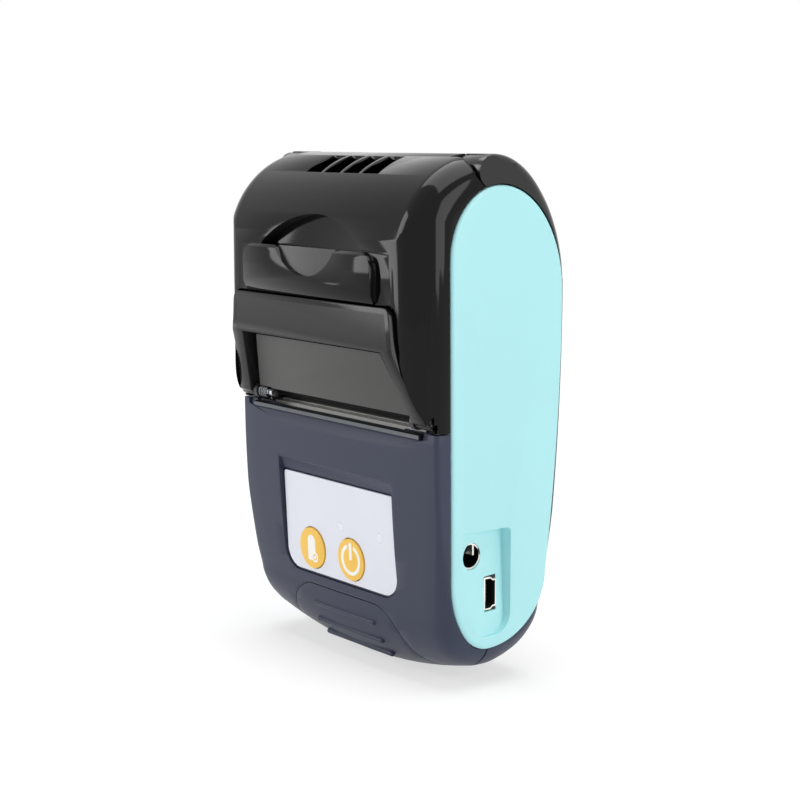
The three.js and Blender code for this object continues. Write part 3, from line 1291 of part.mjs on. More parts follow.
const floorDrop = Math.sqrt(rollSpan ** 2 - (webAtRoll - webAtPlaten) ** 2) - platenRadius;
const binFloor = alongX(polygon([
  onFloor(floorOffset, 0),
  onFloor(floorOffset, floorDrop),
  onFloor(floorOffset + binWall, floorDrop),
  onFloor(floorOffset + binWall, 0),
]), -binHalfWidth, binHalfWidth);
const cheekFront = rollCentre.y - hubRadius - wall;
const cheekTop = rollCentre.z + hubRadius + wall;
const binCheek = polygon([
  onFloor(floorOffset + binWall, floorDrop),
  onFloor(floorOffset + binWall, 0),
  [rollCentre.y + hubRadius + wall, cheekTop],
  [cheekFront, cheekTop],
  [cheekFront, rollCentre.z - hubRadius],
]);
const binRoom = bodyEnvelope(wall + gap, sideWall + gap, false);
const paperBin = union(
  binFloor,
  alongX(binCheek, -binHalfWidth, -binHalfWidth + binWall),
  alongX(binCheek, binHalfWidth - binWall, binHalfWidth),
  rodX(hubRadius, -binHalfWidth, -binHalfWidth + binWall + hubLength, rollCentre.y, rollCentre.z),
  rodX(hubRadius, binHalfWidth - binWall - hubLength, binHalfWidth, rollCentre.y, rollCentre.z),
).intersect(binRoom);
addMesh("paper_bin", paperBin, plastic(0x252628, 0.5));

// Battery and its tray in a frame that leans with the back
const leaning = new THREE.Group();
leaning.position.set(0, batteryCentre.y, batteryCentre.z);
leaning.rotation.x = -batteryLean;
group.add(leaning);
const half = { x: batterySize.x / 2, y: batterySize.y / 2, z: batterySize.z / 2 };
addMesh("battery_pack", box(-half.x, half.x, -half.y, half.y, -half.z, half.z), plastic(0x2a4a8c, 0.45), leaning);
const trayInner = { x: half.x + gap, y: -half.y - gap, z: half.z + gap };
const trayRear = -half.y + batterySize.y * trayDepthShare;
const tray = box(
  -trayInner.x - trayWall, trayInner.x + trayWall, trayInner.y - trayWall, trayRear,
  -trayInner.z - trayWall, trayInner.z + trayWall)
  .subtract(box(-trayInner.x, trayInner.x, trayInner.y, trayRear + overrun, -trayInner.z, trayInner.z));
addMesh("battery_tray", tray, plastic(0x33353c, 0.55), leaning);

// Main board with its switches and sockets
const board = box(boardLeftX, boardRightX, boardRearY - boardThickness, boardRearY, boardBottomZ, boardTopZ)
  .subtract(box(boardNotch.x, bodyHeight, -bodyHeight, bodyHeight, boardNotch.z, bodyHeight));
addMesh("main_board", board, plastic(0x1f5a3a, 0.5));
const boardFrontY = boardRearY - boardThickness;
const plungerFrontY = boardFrontY - switchDepth - plungerLength;
for (const [key, centre] of Object.entries(keyCentres)) {
  const halfSwitch = switchSize / 2;
  const switchBody = box(
    centre.x - halfSwitch, centre.x + halfSwitch, boardFrontY - switchDepth, boardFrontY,
    centre.z - halfSwitch, centre.z + halfSwitch);
  const plunger = rodY(plungerRadius, plungerFrontY, boardFrontY - switchDepth / 2, centre.x, centre.z, 16);
  addMesh(`${key}_switch`, switchBody.add(plunger), plastic(0x1b1b1c, 0.5));
}

const jackMouthX = panelOuterX - (jackCentre.y + jackHoleRadius - recessFrontY) * recessSlope - gap / 2;
const jackBlock = box(
  boardNotch.x + gap, boardNotch.x + gap + jackBody.length,
  jackCentre.y - jackBody.depth / 2, jackCentre.y + jackBody.depth / 2,
  jackCentre.z - jackBody.height / 2, jackCentre.z + jackBody.height / 2)
  .add(rodX(jackHoleRadius - gap, boardNotch.x + wall, jackMouthX, jackCentre.y, jackCentre.z))
  .subtract(rodX(jackBoreRadius, boardNotch.x + wall, bodyHeight, jackCentre.y, jackCentre.z))
  .add(rodX(jackPinRadius, boardNotch.x + wall / 2, jackMouthX - wall / 2, jackCentre.y, jackCentre.z, 12));
addMesh("dc_jack", jackBlock, plastic(0x101010, 0.4));
const usbMouthX = panelOuterX - (usbCentre.y - recessFrontY) * recessSlope - gap;
const usbInnerX = usbMouthX - usbShell.length;
addMesh("usb_socket", usbBox(0, usbInnerX, usbMouthX).subtract(
  usbBox(-usbShell.wall, usbInnerX + usbShell.wall, usbMouthX + overrun)), metal(0xd4d6d8, 0.25));
const tongueHalf = usbShell.height * usbTongueShare;
addMesh("usb_tongue", box(
  usbInnerX + usbShell.wall + gap / 2, usbMouthX - usbShell.wall,
  usbCentre.y - usbShell.wall, usbCentre.y + usbShell.wall,
  usbCentre.z - tongueHalf, usbCentre.z + tongueHalf), plastic(0x151515, 0.5));

// Label, keys and lamps in the label frame
let label = solid(labelPrism(
  labelHalfWidth, -labelHalfHeight, labelHalfHeight, labelCorner, labelTopCorner, 0, labelThickness));
for (const centre of Object.values(keyCentres)) {
  label = label.subtract(labelRod(keyRadius + gap, -overrun, overrun, centre));
}
for (const centre of Object.values(lampCentres)) {
  label = label.subtract(labelRod(lampRadius + gap, -overrun, overrun, centre, 12));
}
addMesh("label_overlay", label, plastic(0xe4e7f2, 0.35), keypad);

const shellInside = pocketFloor + pocketWall;
const flangeFront = shellInside + gap;
const flangeBack = flangeFront + keyFlangeThickness;
for (const [key, centre] of Object.entries(keyCentres)) {
  const faceY = labelMiddle.y + Math.tan(labelLean) * (labelMiddle.z - centre.z);
  const stemEnd = plungerFrontY - faceY - keyTravel - gap;
  const button = union(
    labelRod(keyRadius, -keyProud, flangeFront, centre),
    labelRod(keyRadius + keyFlange, flangeFront, flangeBack, centre),
    labelRod(keyStemRadius, flangeBack - gap, stemEnd, centre, 16));
  addMesh(`${key}_button`, button, plastic(0xfdc04c, 0.4), keypad);
}
for (const [side, centre] of Object.entries(lampCentres)) {
  const reach = boardFrontY - labelMiddle.y - gap;
  addMesh(`lamp_window_${side}`, labelRod(lampRadius, 0, reach, centre, 12), plastic(0xf4f6fb, 0.3), keypad);
}

export default group;
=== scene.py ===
import bpy
import bmesh
import math
import mathutils
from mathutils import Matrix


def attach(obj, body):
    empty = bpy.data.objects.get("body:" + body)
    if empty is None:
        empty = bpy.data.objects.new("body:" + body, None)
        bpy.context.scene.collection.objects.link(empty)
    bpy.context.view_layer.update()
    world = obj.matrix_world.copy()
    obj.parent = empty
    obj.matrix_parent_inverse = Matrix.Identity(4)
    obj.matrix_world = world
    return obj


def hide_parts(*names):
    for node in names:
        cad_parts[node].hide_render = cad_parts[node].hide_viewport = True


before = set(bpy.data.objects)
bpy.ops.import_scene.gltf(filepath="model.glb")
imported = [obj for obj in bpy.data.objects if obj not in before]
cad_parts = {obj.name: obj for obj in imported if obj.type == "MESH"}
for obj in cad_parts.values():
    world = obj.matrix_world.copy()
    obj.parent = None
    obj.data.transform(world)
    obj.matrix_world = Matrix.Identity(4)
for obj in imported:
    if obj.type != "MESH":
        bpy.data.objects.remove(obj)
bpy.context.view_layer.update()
scene = bpy.context.scene
scene.view_settings.view_transform = "Standard"

# Camera
# A long lens at the front right of the printer, a little above its middle.
camera = bpy.data.objects.new("camera", bpy.data.cameras.new("camera"))
camera.data.lens = 80.1
camera.data.sensor_width = 36
camera.location = (0.3193, -0.2441, 0.1190)
camera.rotation_euler = mathutils.Vector((-0.7812, 0.6066, -0.1477)).to_track_quat("-Z", "Y").to_euler()
scene.collection.objects.link(camera)
scene.camera = camera

# Front shell
# The navy front casing under the tear edge, with a fine satin grain. It holds the sunk label pocket,
# bores for the keys and lamps, a facet under the tear bar and a groove along the seam at the foot.
MM = 0.001
PAST = 60
SEAM = 0.22
WIDTH = 36.9
TALL = 115
BACK_Y, BACK_CAMBER = 22.9, 1200
FRONT_Y = -15.9
TEAR_Z = 57
TOP_SEAM_Z = 88.3
SHOULDER_Z = 85
FOOT, FOOT_RADIUS = (2.4, 14.6), 15.2
CROWN, CROWN_REACH = (0.85, 93.5), 22.05
HINGE, BARREL_HALF, KNUCKLE_X, PIN_BORE = (-0.5, 111.3), 28.1, 28.4, 1.3
PANEL_X = 34.7


def arc(centre, radii, start, end, steps):
    turns = [math.radians(start + (end - start) * step / steps) for step in range(steps + 1)]
    return [(centre[0] + radii[0] * math.cos(t), centre[1] + radii[1] * math.sin(t)) for t in turns]


def bend(start, pull, end, steps):
    points = []
    for step in range(1, steps + 1):
        t = step / steps
        points.append(tuple(
            (1 - t) ** 2 * a + 2 * t * (1 - t) * b + t * t * c for a, b, c in zip(start, pull, end)))
    return points


def crown_arc(inset, start, end, steps):
    return arc(CROWN, (CROWN_REACH - inset, TALL - CROWN[1] - inset), start, end, steps)


def body_side(inset):
    foot, back, reach = FOOT_RADIUS - inset, BACK_Y - inset, CROWN_REACH - inset
    points = arc(FOOT, (foot, foot), -180, 0, 72)
    points += bend(points[-1], (back, 48), (back, SHOULDER_Z), 24)
    points += arc((CROWN[0], SHOULDER_Z), (reach, TALL - SHOULDER_Z - inset), 0, 90, 48)[1:]
    points += crown_arc(inset, 90, 180, 40)[1:]
    points.append((FRONT_Y + inset, TEAR_Z))
    points += bend(points[-1], (-15.8 + inset, 34), (FOOT[0] - foot, FOOT[1]), 20)[:-1]
    return points


def closed_piece(name, points, faces):
    mesh = bpy.data.meshes.new(name)
    mesh.from_pydata([tuple(c * MM for c in p) for p in points], [], faces)
    shaper = bmesh.new()
    shaper.from_mesh(mesh)
    bmesh.ops.remove_doubles(shaper, verts=shaper.verts, dist=1e-7)
    bmesh.ops.recalc_face_normals(shaper, faces=shaper.faces)
    shaper.to_mesh(mesh)
    shaper.free()
    piece = bpy.data.objects.new(name, mesh)
    scene.collection.objects.link(piece)
    return piece


def rings_to_piece(name, rings):
    count = len(rings[0])
    points = [p for ring in rings for p in ring]
    faces = [
        (r * count + i, r * count + (i + 1) % count, (r + 1) * count + (i + 1) % count, (r + 1) * count + i)
        for r in range(len(rings) - 1) for i in range(count)]
    faces.append(tuple(range(count)))
    faces.append(tuple(range((len(rings) - 1) * count, len(rings) * count)))
    return closed_piece(name, points, faces)


def prism(name, axis, outline, start, end):
    place = {
        "x": lambda u, v, w: (w, u, v),
        "y": lambda u, v, w: (u, w, v),
        "z": lambda u, v, w: (u, v, w)}[axis]
    return rings_to_piece(name, [[place(u, v, w) for u, v in outline] for w in (start, end)])


def block(name, low, high):
    outline = [(low[0], low[1]), (high[0], low[1]), (high[0], high[1]), (low[0], high[1])]
    return prism(name, "z", outline, low[2], high[2])


def rod(name, axis, radius, centre, start, end, sides=48):
    return prism(name, axis, arc(centre, (radius, radius), 0, 360, sides)[:-1], start, end)


def clamp(value):
    return min(max(value, 0), 1)


def moulded_body(name, inset, side_inset):
    half = WIDTH - side_inset
    around, shrunk = body_side(inset), body_side(inset + 1)
    corners = [math.radians(a) for a in (90, 75, 60, 45, 30, 15)]
    stations = [(c, 1) for c in corners] + [(0, 1 - step / 8) for step in range(17)]
    stations += [(c, -1) for c in reversed(corners)]
    rings = []
    for corner, share in stations:
        ring = []
        for (y0, z0), (y1, z1) in zip(around, shrunk):
            upright = 1.2 + 2.3 * clamp(y0 / BACK_Y)
            radius = max(upright + (7 - upright) * clamp(1 - z0 / 36) - inset, 0.2)
            x = (half - radius * (1 - math.sin(corner))) * share
            pull = radius * (1 - math.cos(corner))
            y, z = y0 + (y1 - y0) * pull, z0 + (z1 - z0) * pull
            fall = clamp(-y / FOOT_RADIUS) / 1800 - clamp(y / FOOT_RADIUS) / BACK_CAMBER
            ring.append((x, y + fall * x * x, z + clamp(1 - z0 / 21) * x * x / 230))
        rings.append(ring)
    return rings_to_piece(name, rings)


kept = []


def carve(piece, tools, how="DIFFERENCE"):
    for tool in tools:
        step = piece.modifiers.new(how.lower(), "BOOLEAN")
        step.operation = how
        step.solver = "MANIFOLD"
        step.object = tool
        tool.hide_render = True


def settle(piece, angle=32, edge=0.0):
    if edge:
        weld = piece.modifiers.new("weld", "WELD")
        weld.merge_threshold = 0.02 * MM
        soft = piece.modifiers.new("soft edges", "BEVEL")
        soft.width = edge * MM
        soft.segments = 2
        soft.limit_method = "ANGLE"
        soft.angle_limit = math.radians(angle)
        soft.use_clamp_overlap = True
    tools = {m.object for m in piece.modifiers if m.type == "BOOLEAN"}
    mesh = bpy.data.meshes.new_from_object(piece.evaluated_get(bpy.context.evaluated_depsgraph_get()))
    piece.modifiers.clear()
    piece.data = mesh
    mesh.name = piece.name
    for tool in tools:
        if tool not in kept:
            bpy.data.objects.remove(tool)
    mesh.shade_smooth()
    mesh.set_sharp_from_angle(angle=math.radians(angle))
    return piece


class Value:
    """A socket that adds maths nodes when it is used in a sum."""

    def __init__(self, tree, socket):
        self.tree, self.socket = tree, socket

    def maths(self, operation, *others):
        node = self.tree.nodes.new("ShaderNodeMath")
        node.operation = operation
        for slot, other in zip(node.inputs, (self, *others)):
            if isinstance(other, Value):
                self.tree.links.new(other.socket, slot)
            else:
                slot.default_value = other
        return Value(self.tree, node.outputs[0])

    def __add__(self, other):
        return self.maths("ADD", other)

    def __mul__(self, other):
        return self.maths("MULTIPLY", other)

    def __sub__(self, other):
        return self.maths("SUBTRACT", other)

    def __rsub__(self, other):
        return (self * -1) + other

    def __truediv__(self, other):
        return self.maths("DIVIDE", other)

    def step(self, edge, soft):
        ramp = (self - edge).maths("DIVIDE", soft).maths("ADD", 0.5)
        return ramp.maths("MAXIMUM", 0.0).maths("MINIMUM", 1.0)


class Finish:
    """A material on Principled BSDF, patterned in the object's own coordinates."""

    def __init__(self, name, colour, roughness, metallic=0.0):
        self.material = bpy.data.materials.new(name)
        self.material.use_nodes = True
        self.tree = self.material.node_tree
        self.shader = self.tree.nodes["Principled BSDF"]
        self.colour = tuple((c / 255) ** 2.2 for c in colour) + (1,)
        self.shader.inputs["Base Color"].default_value = self.colour
        self.shader.inputs["Roughness"].default_value = roughness
        self.shader.inputs["Metallic"].default_value = metallic
        self.place = self.node("ShaderNodeTexCoord", {}, {}, "Object")

    def node(self, kind, settings, sockets, output=0):
        made = self.tree.nodes.new(kind)
        for key, value in settings.items():
            setattr(made, key, value)
        for key, value in sockets.items():
            if isinstance(value, Value):
                self.tree.links.new(value.socket, made.inputs[key])
            else:
                made.inputs[key].default_value = value
        return Value(self.tree, made.outputs[output])

    def axes(self):
        split = self.tree.nodes.new("ShaderNodeSeparateXYZ")
        self.tree.links.new(self.place.socket, split.inputs[0])
        return [Value(self.tree, out) for out in split.outputs]

    def noise(self, scale, detail=2.0, stretch=None):
        where = self.place
        if stretch:
            where = self.node("ShaderNodeMapping", {}, {"Vector": where, "Scale": stretch})
        return self.node("ShaderNodeTexNoise", {}, {"Vector": where, "Scale": scale, "Detail": detail})

    def blend(self, mask, low, high):
        return self.node("ShaderNodeMix", {"data_type": "RGBA"}, {0: mask, 6: low, 7: high}, 2)

    def tone(self, factor):
        return tuple(min(c * factor, 1) for c in self.colour[:3]) + (1,)

    def give(self, socket, value):
        self.tree.links.new(value.socket, self.shader.inputs[socket])

    def bump(self, height, distance):
        self.give("Normal", self.node("ShaderNodeBump", {}, {"Height": height, "Distance": distance}))


def moulded(name, colour, roughness, grain, depth, spread=0.05):
    finish = Finish(name, colour, roughness)
    cloud = finish.noise(45, 3.0)
    fine = finish.noise(grain, 2.0)
    finish.give("Base Color", finish.blend(cloud, finish.tone(1 - spread), finish.tone(1 + spread)))
    finish.give("Roughness", (cloud - 0.5) * 0.12 + fine * 0.06 + (roughness - 0.03))
    finish.bump(fine, depth)
    return finish


def dress(piece, finish):
    piece.data.materials.clear()
    piece.data.materials.append(finish.material)


navy = moulded("navy_satin", (57, 62, 79), 0.4, 3500, 0.00002)
navy.shader.inputs["Specular IOR Level"].default_value = 0.25


def panel_side(margin):
    front, foot = -11.6 - margin, -11 - margin
    peak, keel = 108.6 + margin, 9 - margin
    rear_top, rear_foot = 19.9 + margin, 15.9 + margin
    points = arc((-0.6, 26), (-0.6 - foot, 26 - keel), 180, 270, 30)
    points += arc((-0.6, 24.6), (rear_foot + 0.6, 24.6 - keel), -90, 0, 36)[1:]
    points += bend(points[-1], (rear_top, (24.6 + 85) / 2), (rear_top, 85), 24)
    points += arc((2, 85), (rear_top - 2, peak - 85), 0, 90, 36)[1:]
    points += arc((2, 93), (2 - front, peak - 93), 90, 180, 30)[1:]
    return points


COVER_HALF, COVER_TOP = 26.5, 64
GRIP_SHOULDER, GRIP_TOP = (15.2, 14.8), 15.7


def cover_outline(margin):
    half = COVER_HALF + margin
    knots = [(half, 0), (25, 2.2), (22.9, 4.6), (21.3, 7.7), (19.4, 11.2), (17.5, 13.4), GRIP_SHOULDER]
    knots = [mathutils.Vector(knot) for knot in knots]
    curve = mathutils.geometry.interpolate_bezier
    right = []
    for a, b, before, after in zip(knots, knots[1:], [knots[0]] + knots, knots[2:] + [knots[-1]]):
        run = curve(a, a + (b - before) / 6, b - (after - a) / 6, b, 7)
        right += [(x + margin, z) for x, z, *_ in run][:-1]
    right += [(GRIP_SHOULDER[0] + margin, GRIP_SHOULDER[1])]
    right += bend(right[-1], (13.6 + margin, GRIP_TOP + margin), (11.5, GRIP_TOP + margin), 6)
    left = [(-x, z) for x, z in reversed(right)]
    return [(half, -10)] + right + left + [(-half, -10)]


def cover_tools(margin):
    front = prism("cover front", "y", cover_outline(margin), -PAST, -1.7)
    back = block(
        "cover back", (-COVER_HALF - margin, -2, -10), (COVER_HALF + margin, PAST, COVER_TOP + margin))
    return front, back


LABEL_Y, LABEL_Z, LABEL_LOW, LABEL_HIGH = -13.6, 30.1, 18.7, 41.5
lean = math.atan2(1.2, 22.8)
label_place = (
    mathutils.Matrix.Translation((0, LABEL_Y * MM, LABEL_Z * MM))
    @ mathutils.Matrix.Rotation(lean, 4, "X"))
LABEL_HALF = (LABEL_HIGH - LABEL_LOW) / 2 / math.cos(lean)


def plate(half, bottom, top, low_round, high_round, steps=12):
    points = arc((half - low_round, bottom + low_round), (low_round, low_round), -90, 0, steps)
    points += arc((half - high_round, top - high_round), (high_round, high_round), 0, 90, steps)
    points += arc((-half + high_round, top - high_round), (high_round, high_round), 90, 180, steps)
    points += arc((-half + low_round, bottom + low_round), (low_round, low_round), 180, 270, steps)
    return points


def on_label(piece):
    piece.data.transform(label_place)
    return piece


def label_z(height):
    return (height - LABEL_Z) / math.cos(lean)


KEYS = {"feed": (-10.6, 24.45), "power": (4.4, 24.45)}
LAMPS = {"left": (0.6, 31.3), "right": (15.1, 31.3)}
KEY_HOLE = 5.0

outer = moulded_body("outer body", 0, 0)
carve(outer, [block("ground", (-PAST, -PAST, 0), (PAST, PAST, 200))], "INTERSECT")
settle(outer)
inner = moulded_body("inner body", 2, 2.2)
kept += [outer, inner]


def hollow_body(name):
    piece = bpy.data.objects.new(name, outer.data.copy())
    scene.collection.objects.link(piece)
    carve(piece, [inner])
    return piece


pocket_wall = on_label(prism(
    "pocket wall", "y", plate(22.7, -LABEL_HALF - 1.8, LABEL_HALF + 2.8, 4.6, 0.8), -0.9, 2.4))
carve(pocket_wall, [moulded_body("wall middle", 0.7, 0.7)], "INTERSECT")
settle(pocket_wall)
front_shell = hollow_body("front_shell_moulding")
carve(front_shell, [block("front room", (-PAST, -PAST, -10), (PAST, -SEAM / 2, TEAR_Z))], "INTERSECT")
carve(front_shell, [pocket_wall], "UNION")
facet = rod("facet disc", "y", 138, (0, 189.6), -PAST, 0, 256)
carve(facet, [prism("facet plane", "x", [
    (-14.25, TEAR_Z), (-16.5, 51.2), (-30, 50), (-30, 57.5), (-14.25, 57.5)], -34, 34)], "INTERSECT")
settle(facet)
carve(front_shell, [
    prism("panel window", "x", panel_side(SEAM), -PAST, PAST),
    *cover_tools(SEAM),
    on_label(prism("pocket", "y", plate(21.5, -LABEL_HALF - 0.6, LABEL_HALF + 0.6, 5.2, 0.8), -12, 0.6)),
    prism("pocket ramp", "x", [
        (-14.2, LABEL_HIGH), (-24, LABEL_HIGH), (-24, 51.5), (-14.8, 44.3)], -21.5, 21.5),
    facet,
    block("tear seat", (-31.6, -PAST, 55.4), (31.6, -13.6, 70)),
    *[on_label(rod("key bore", "y", KEY_HOLE, (x, label_z(z)), -10, 10, 64)) for x, z in KEYS.values()],
    *[on_label(rod("lamp bore", "y", 1.3, (x, label_z(z)), -10, 10, 24)) for x, z in LAMPS.values()]])
foot_seam = block("foot seam", (-PAST, -0.22, -10), (PAST, 0.22, 26))
carve(foot_seam, [moulded_body("seam floor", 0.6, 0.6)])
settle(foot_seam)
kept.append(foot_seam)
carve(front_shell, [foot_seam])
settle(front_shell, 30, 0.18)
dress(front_shell, navy)
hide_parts("front_shell")
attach(front_shell, "base")

# Rear shell
# The navy back casing between the side panels, with sunk screw bores that clamp it to the front.
SCREW_X = 30.2
SCREWS = [(x, z) for x in (-SCREW_X, SCREW_X) for z in (70, 27)]


def back_y(height):
    share = (height - FOOT[1]) / 70.4
    return BACK_Y - 5.3 * (1 - share) ** 2 - SCREW_X ** 2 / BACK_CAMBER


rear_shell = hollow_body("rear_shell_moulding")
carve(rear_shell, [
    block("rear room", (-PAST, SEAM / 2, -10), (PAST, PAST, TOP_SEAM_Z - SEAM / 2))], "INTERSECT")
bosses = [rod("screw boss", "y", 2.9, (x, z), back_y(z) - 11, back_y(z) - 0.8) for x, z in SCREWS]
carve(rear_shell, bosses, "UNION")
carve(rear_shell, [
    prism("panel window", "x", panel_side(SEAM), -PAST, PAST),
    *cover_tools(SEAM),
    *[rod("head seat", "y", 2.5, (x, z), back_y(z) - 2.6, PAST) for x, z in SCREWS],
    *[rod("shank bore", "y", 1.4, (x, z), -PAST, PAST) for x, z in SCREWS]])
carve(rear_shell, [foot_seam])
settle(rear_shell, 30, 0.18)
dress(rear_shell, navy)
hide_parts("rear_shell")
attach(rear_shell, "base")

# Battery cover
# One navy moulding from the ribbed thumb grip under the label, round the foot and up the back.
cover = hollow_body("battery_cover_moulding")
front_cut, back_cut = cover_tools(0)
carve(front_cut, [back_cut], "UNION")
settle(front_cut)
carve(cover, [front_cut], "INTERSECT")
RIB = 0.65
ribs = []
for half, height in ((11.8, 11.2), (12.6, 6.9), (12.7, 3.4)):
    reach = math.sqrt(FOOT_RADIUS ** 2 - (FOOT[1] - height) ** 2) - 0.2
    rings = []
    for turn in range(-90, 91, 15):
        x = RIB * math.sin(math.radians(turn)) + math.copysign(half - RIB, turn)
        radius = max(RIB * math.cos(math.radians(turn)), 0.02)
        ring = arc((FOOT[0] - reach, height), (radius, radius), 0, 345, 23)
        rings.append([(x, y, z) for y, z in ring])
        if turn == 0:
            rings.insert(-1, [(-x, y, z) for y, z in ring])
    ribs.append(rings_to_piece("grip rib", rings))
carve(cover, ribs, "UNION")
settle(cover, 30, 0.15)
dress(cover, navy)
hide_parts("battery_cover")
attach(cover, "cover")

# Side panels
# Pale teal covers pressed into both sides, with soft edges. The right one is dished down to the
# charging and data sockets.
JACK, USB = (-5.2, 30.0), (0.6, 21.0)
FLANGE_X = 36.25
teal = moulded("teal_satin", (172, 229, 233), 0.36, 3000, 0.000012, 0.02)


def soft_panel(name, side):
    rings = [[(side * PANEL_X, y, z) for y, z in panel_side(0)]]
    for turn in range(0, 91, 15):
        pull = 1 - math.cos(math.radians(turn))
        x = side * (FLANGE_X + math.sin(math.radians(turn)))
        rings.append([(x, y0 + (y1 - y0) * pull, z0 + (z1 - z0) * pull)
                      for (y0, z0), (y1, z1) in zip(panel_side(0), panel_side(-1))])
    return rings_to_piece(name, rings)


panel_left = soft_panel("side_panel_left_moulding", -1)
settle(panel_left, 30)


def recess(name, sink, margin):
    outline = [(u - 1.75, v) for u, v in plate(6.95 + margin, 11.9 - margin, 35.3 + margin, 4.5, 1)]
    floor = [(38.1 - sink - 0.2 * (y + 8.7) - 0.05 * (z - 11.9), y, z) for y, z in outline]
    return rings_to_piece(name, [floor, [(47, y, z) for y, z in outline]])


panel_right = soft_panel("side_panel_right_moulding", 1)
backing = recess("recess backing", 1.1, 1.1)
carve(backing, [
    block("backing room", (31.7, -PAST, 0), (FLANGE_X, PAST, TALL)),
    prism("panel room", "x", panel_side(0), 0, 37.25)], "INTERSECT")
settle(backing)
carve(panel_right, [backing], "UNION")
carve(panel_right, [
    recess("recess", 0, 0),
    rod("jack bore", "x", 2.9, JACK, 20, PAST, 64),
    block("usb bore", (20, -1.35, 17.1), (PAST, 2.55, 24.9))])
settle(panel_right, 30, 0.3)
for piece, node in ((panel_left, "side_panel_left"), (panel_right, "side_panel_right")):
    dress(piece, teal)
    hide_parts(node)
    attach(piece, "base")

# Rear top shell
# The black moulding behind the crown, with the two end knuckles of the lid's hinge.
gloss = moulded("gloss_black", (9, 9, 10), 0.09, 900, 0.0000015, 0.0)
gloss.shader.inputs["Specular IOR Level"].default_value = 0.2
rear_black = moulded("semi_gloss_black", (24, 24, 25), 0.2, 2500, 0.000006, 0.0)
rear_top = hollow_body("rear_top_moulding")
carve(rear_top, [
    block("rear top room", (-PAST, HINGE[0], TOP_SEAM_Z + SEAM / 2), (PAST, PAST, 200))], "INTERSECT")
carve(rear_top, [
    prism("panel window", "x", panel_side(SEAM), -PAST, PAST),
    rod("barrel room", "x", 5.4, HINGE, -KNUCKLE_X, KNUCKLE_X, 96)])
for low, high in ((-WIDTH, -KNUCKLE_X), (KNUCKLE_X, WIDTH)):
    carve(rear_top, [
        rod("end knuckle", "x", 3.4, HINGE, low, high, 64),
        block("knuckle web", (low, HINGE[0], 109.6), (high, 6.3, 113.0))], "UNION")
carve(rear_top, [
    prism("right panel room", "x", panel_side(SEAM), 34.45, PAST),
    prism("left panel room", "x", panel_side(SEAM), -PAST, -34.45),
    rod("pin bore", "x", PIN_BORE, HINGE, -PANEL_X, PANEL_X, 32)])
settle(rear_top, 30, 0.15)
dress(rear_top, rear_black)
for face in rear_top.data.polygons:
    face.use_smooth = abs(face.normal.x) < 0.999
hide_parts("rear_top_shell")
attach(rear_top, "base")

# Lid
# The glossy black door over the paper: a raised thumb pad, a half-moon dent, a scoop with an arch, vent
# slots over the crown and a hinge barrel at its rear edge. The dent's floor and the scoop's arch have a
# rough grain and are painted a lighter grey, a painted sheen for the light those faces catch.
PIVOT = (-14.6, 59.3)
LID_FOOT, LID_FRONT = 57.3, -21.2


def lid_side(inset):
    back, lip = BACK_Y - inset, -20.9 + inset
    points = [(back, LID_FOOT), (back, CROWN[1])]
    points += crown_arc(inset, 0, 180, 96)[1:]
    points.append((lip, 67))
    points += bend(points[-1], (lip, 62), (-17.2 + inset, LID_FOOT), 16)
    return points


def lid_plan(inset):
    half, front, corner = WIDTH - inset, LID_FRONT + inset, 9
    points = [(-half, TALL)] + arc((-half + corner, front + corner), (corner, corner), 180, 270, 32)
    return points + arc((half - corner, front + corner), (corner, corner), -90, 0, 32) + [(half, TALL)]


def crown_side(inset):
    return [(BACK_Y - inset, 40), *crown_arc(inset, 0, 180, 96), (LID_FRONT + inset, 40)]


def round_ended(name, near, shrunk, half, radius):
    rings = []
    for side, corners in ((-1, range(90, -1, -10)), (1, range(0, 91, 10))):
        for corner in corners:
            pull = radius * (1 - math.cos(math.radians(corner)))
            x = side * (half - radius + radius * math.sin(math.radians(corner)))
            rings.append([(x, y0 + (y1 - y0) * pull, z0 + (z1 - z0) * pull)
                          for (y0, z0), (y1, z1) in zip(near, shrunk)])
    return rings_to_piece(name, rings)


def lid_block(name, inset, half, edge):
    piece = round_ended(name, lid_side(inset), lid_side(inset + 1), half, edge)
    crown = round_ended(f"{name} crown", crown_side(inset), crown_side(inset + 1), half, 6.5 - inset)
    carve(piece, [prism(f"{name} plan", "z", lid_plan(inset), 0, 200), crown], "INTERSECT")
    return settle(piece)


lid_middle = lid_block("lid middle", 0.6, WIDTH - 0.6, 1)
kept.append(lid_middle)
lid_inner = lid_block("lid inner", 2, PANEL_X, 0.2)
BAR_Y, BAR_TOP = -22.7, 83.4
KNEE_Y, KNEE_Z = -21.9, 74.1
HEEL_Y, TOE_Z = -16.8, 57.8
arm_slope = (HEEL_Y - KNEE_Y) / (KNEE_Z - PIVOT[1])


def lever_side(margin):
    back, top, clear = 3.4 + margin, BAR_TOP + margin, margin * 10
    foot = 60.8
    front = KNEE_Y + arm_slope * (KNEE_Z - foot)
    pivot_y, pivot_z = PIVOT
    return [
        (BAR_Y - clear, top), (BAR_Y + back, top), (KNEE_Y + back, KNEE_Z),
        (max(front + back, pivot_y + margin), foot), (pivot_y + margin, pivot_z), (pivot_y, TOE_Z - margin),
        (HEEL_Y - clear, pivot_z - margin), (KNEE_Y - clear, KNEE_Z)]


def lever_face(margin, corner=2.6):
    top, low = BAR_TOP + margin, TOE_Z - 2 * margin
    right = []
    for step in range(13):
        height = low + (top - corner - TOE_Z + 2 * margin) * step / 12
        right.append((29.6 + margin + 6.4 * ((BAR_TOP - height) / 25.6) ** 2, height))
    right += bend(right[-1], (right[-1][0] - 0.1, top), (right[-1][0] - corner, top), 10)
    return right + [(-x, z) for x, z in reversed(right)]


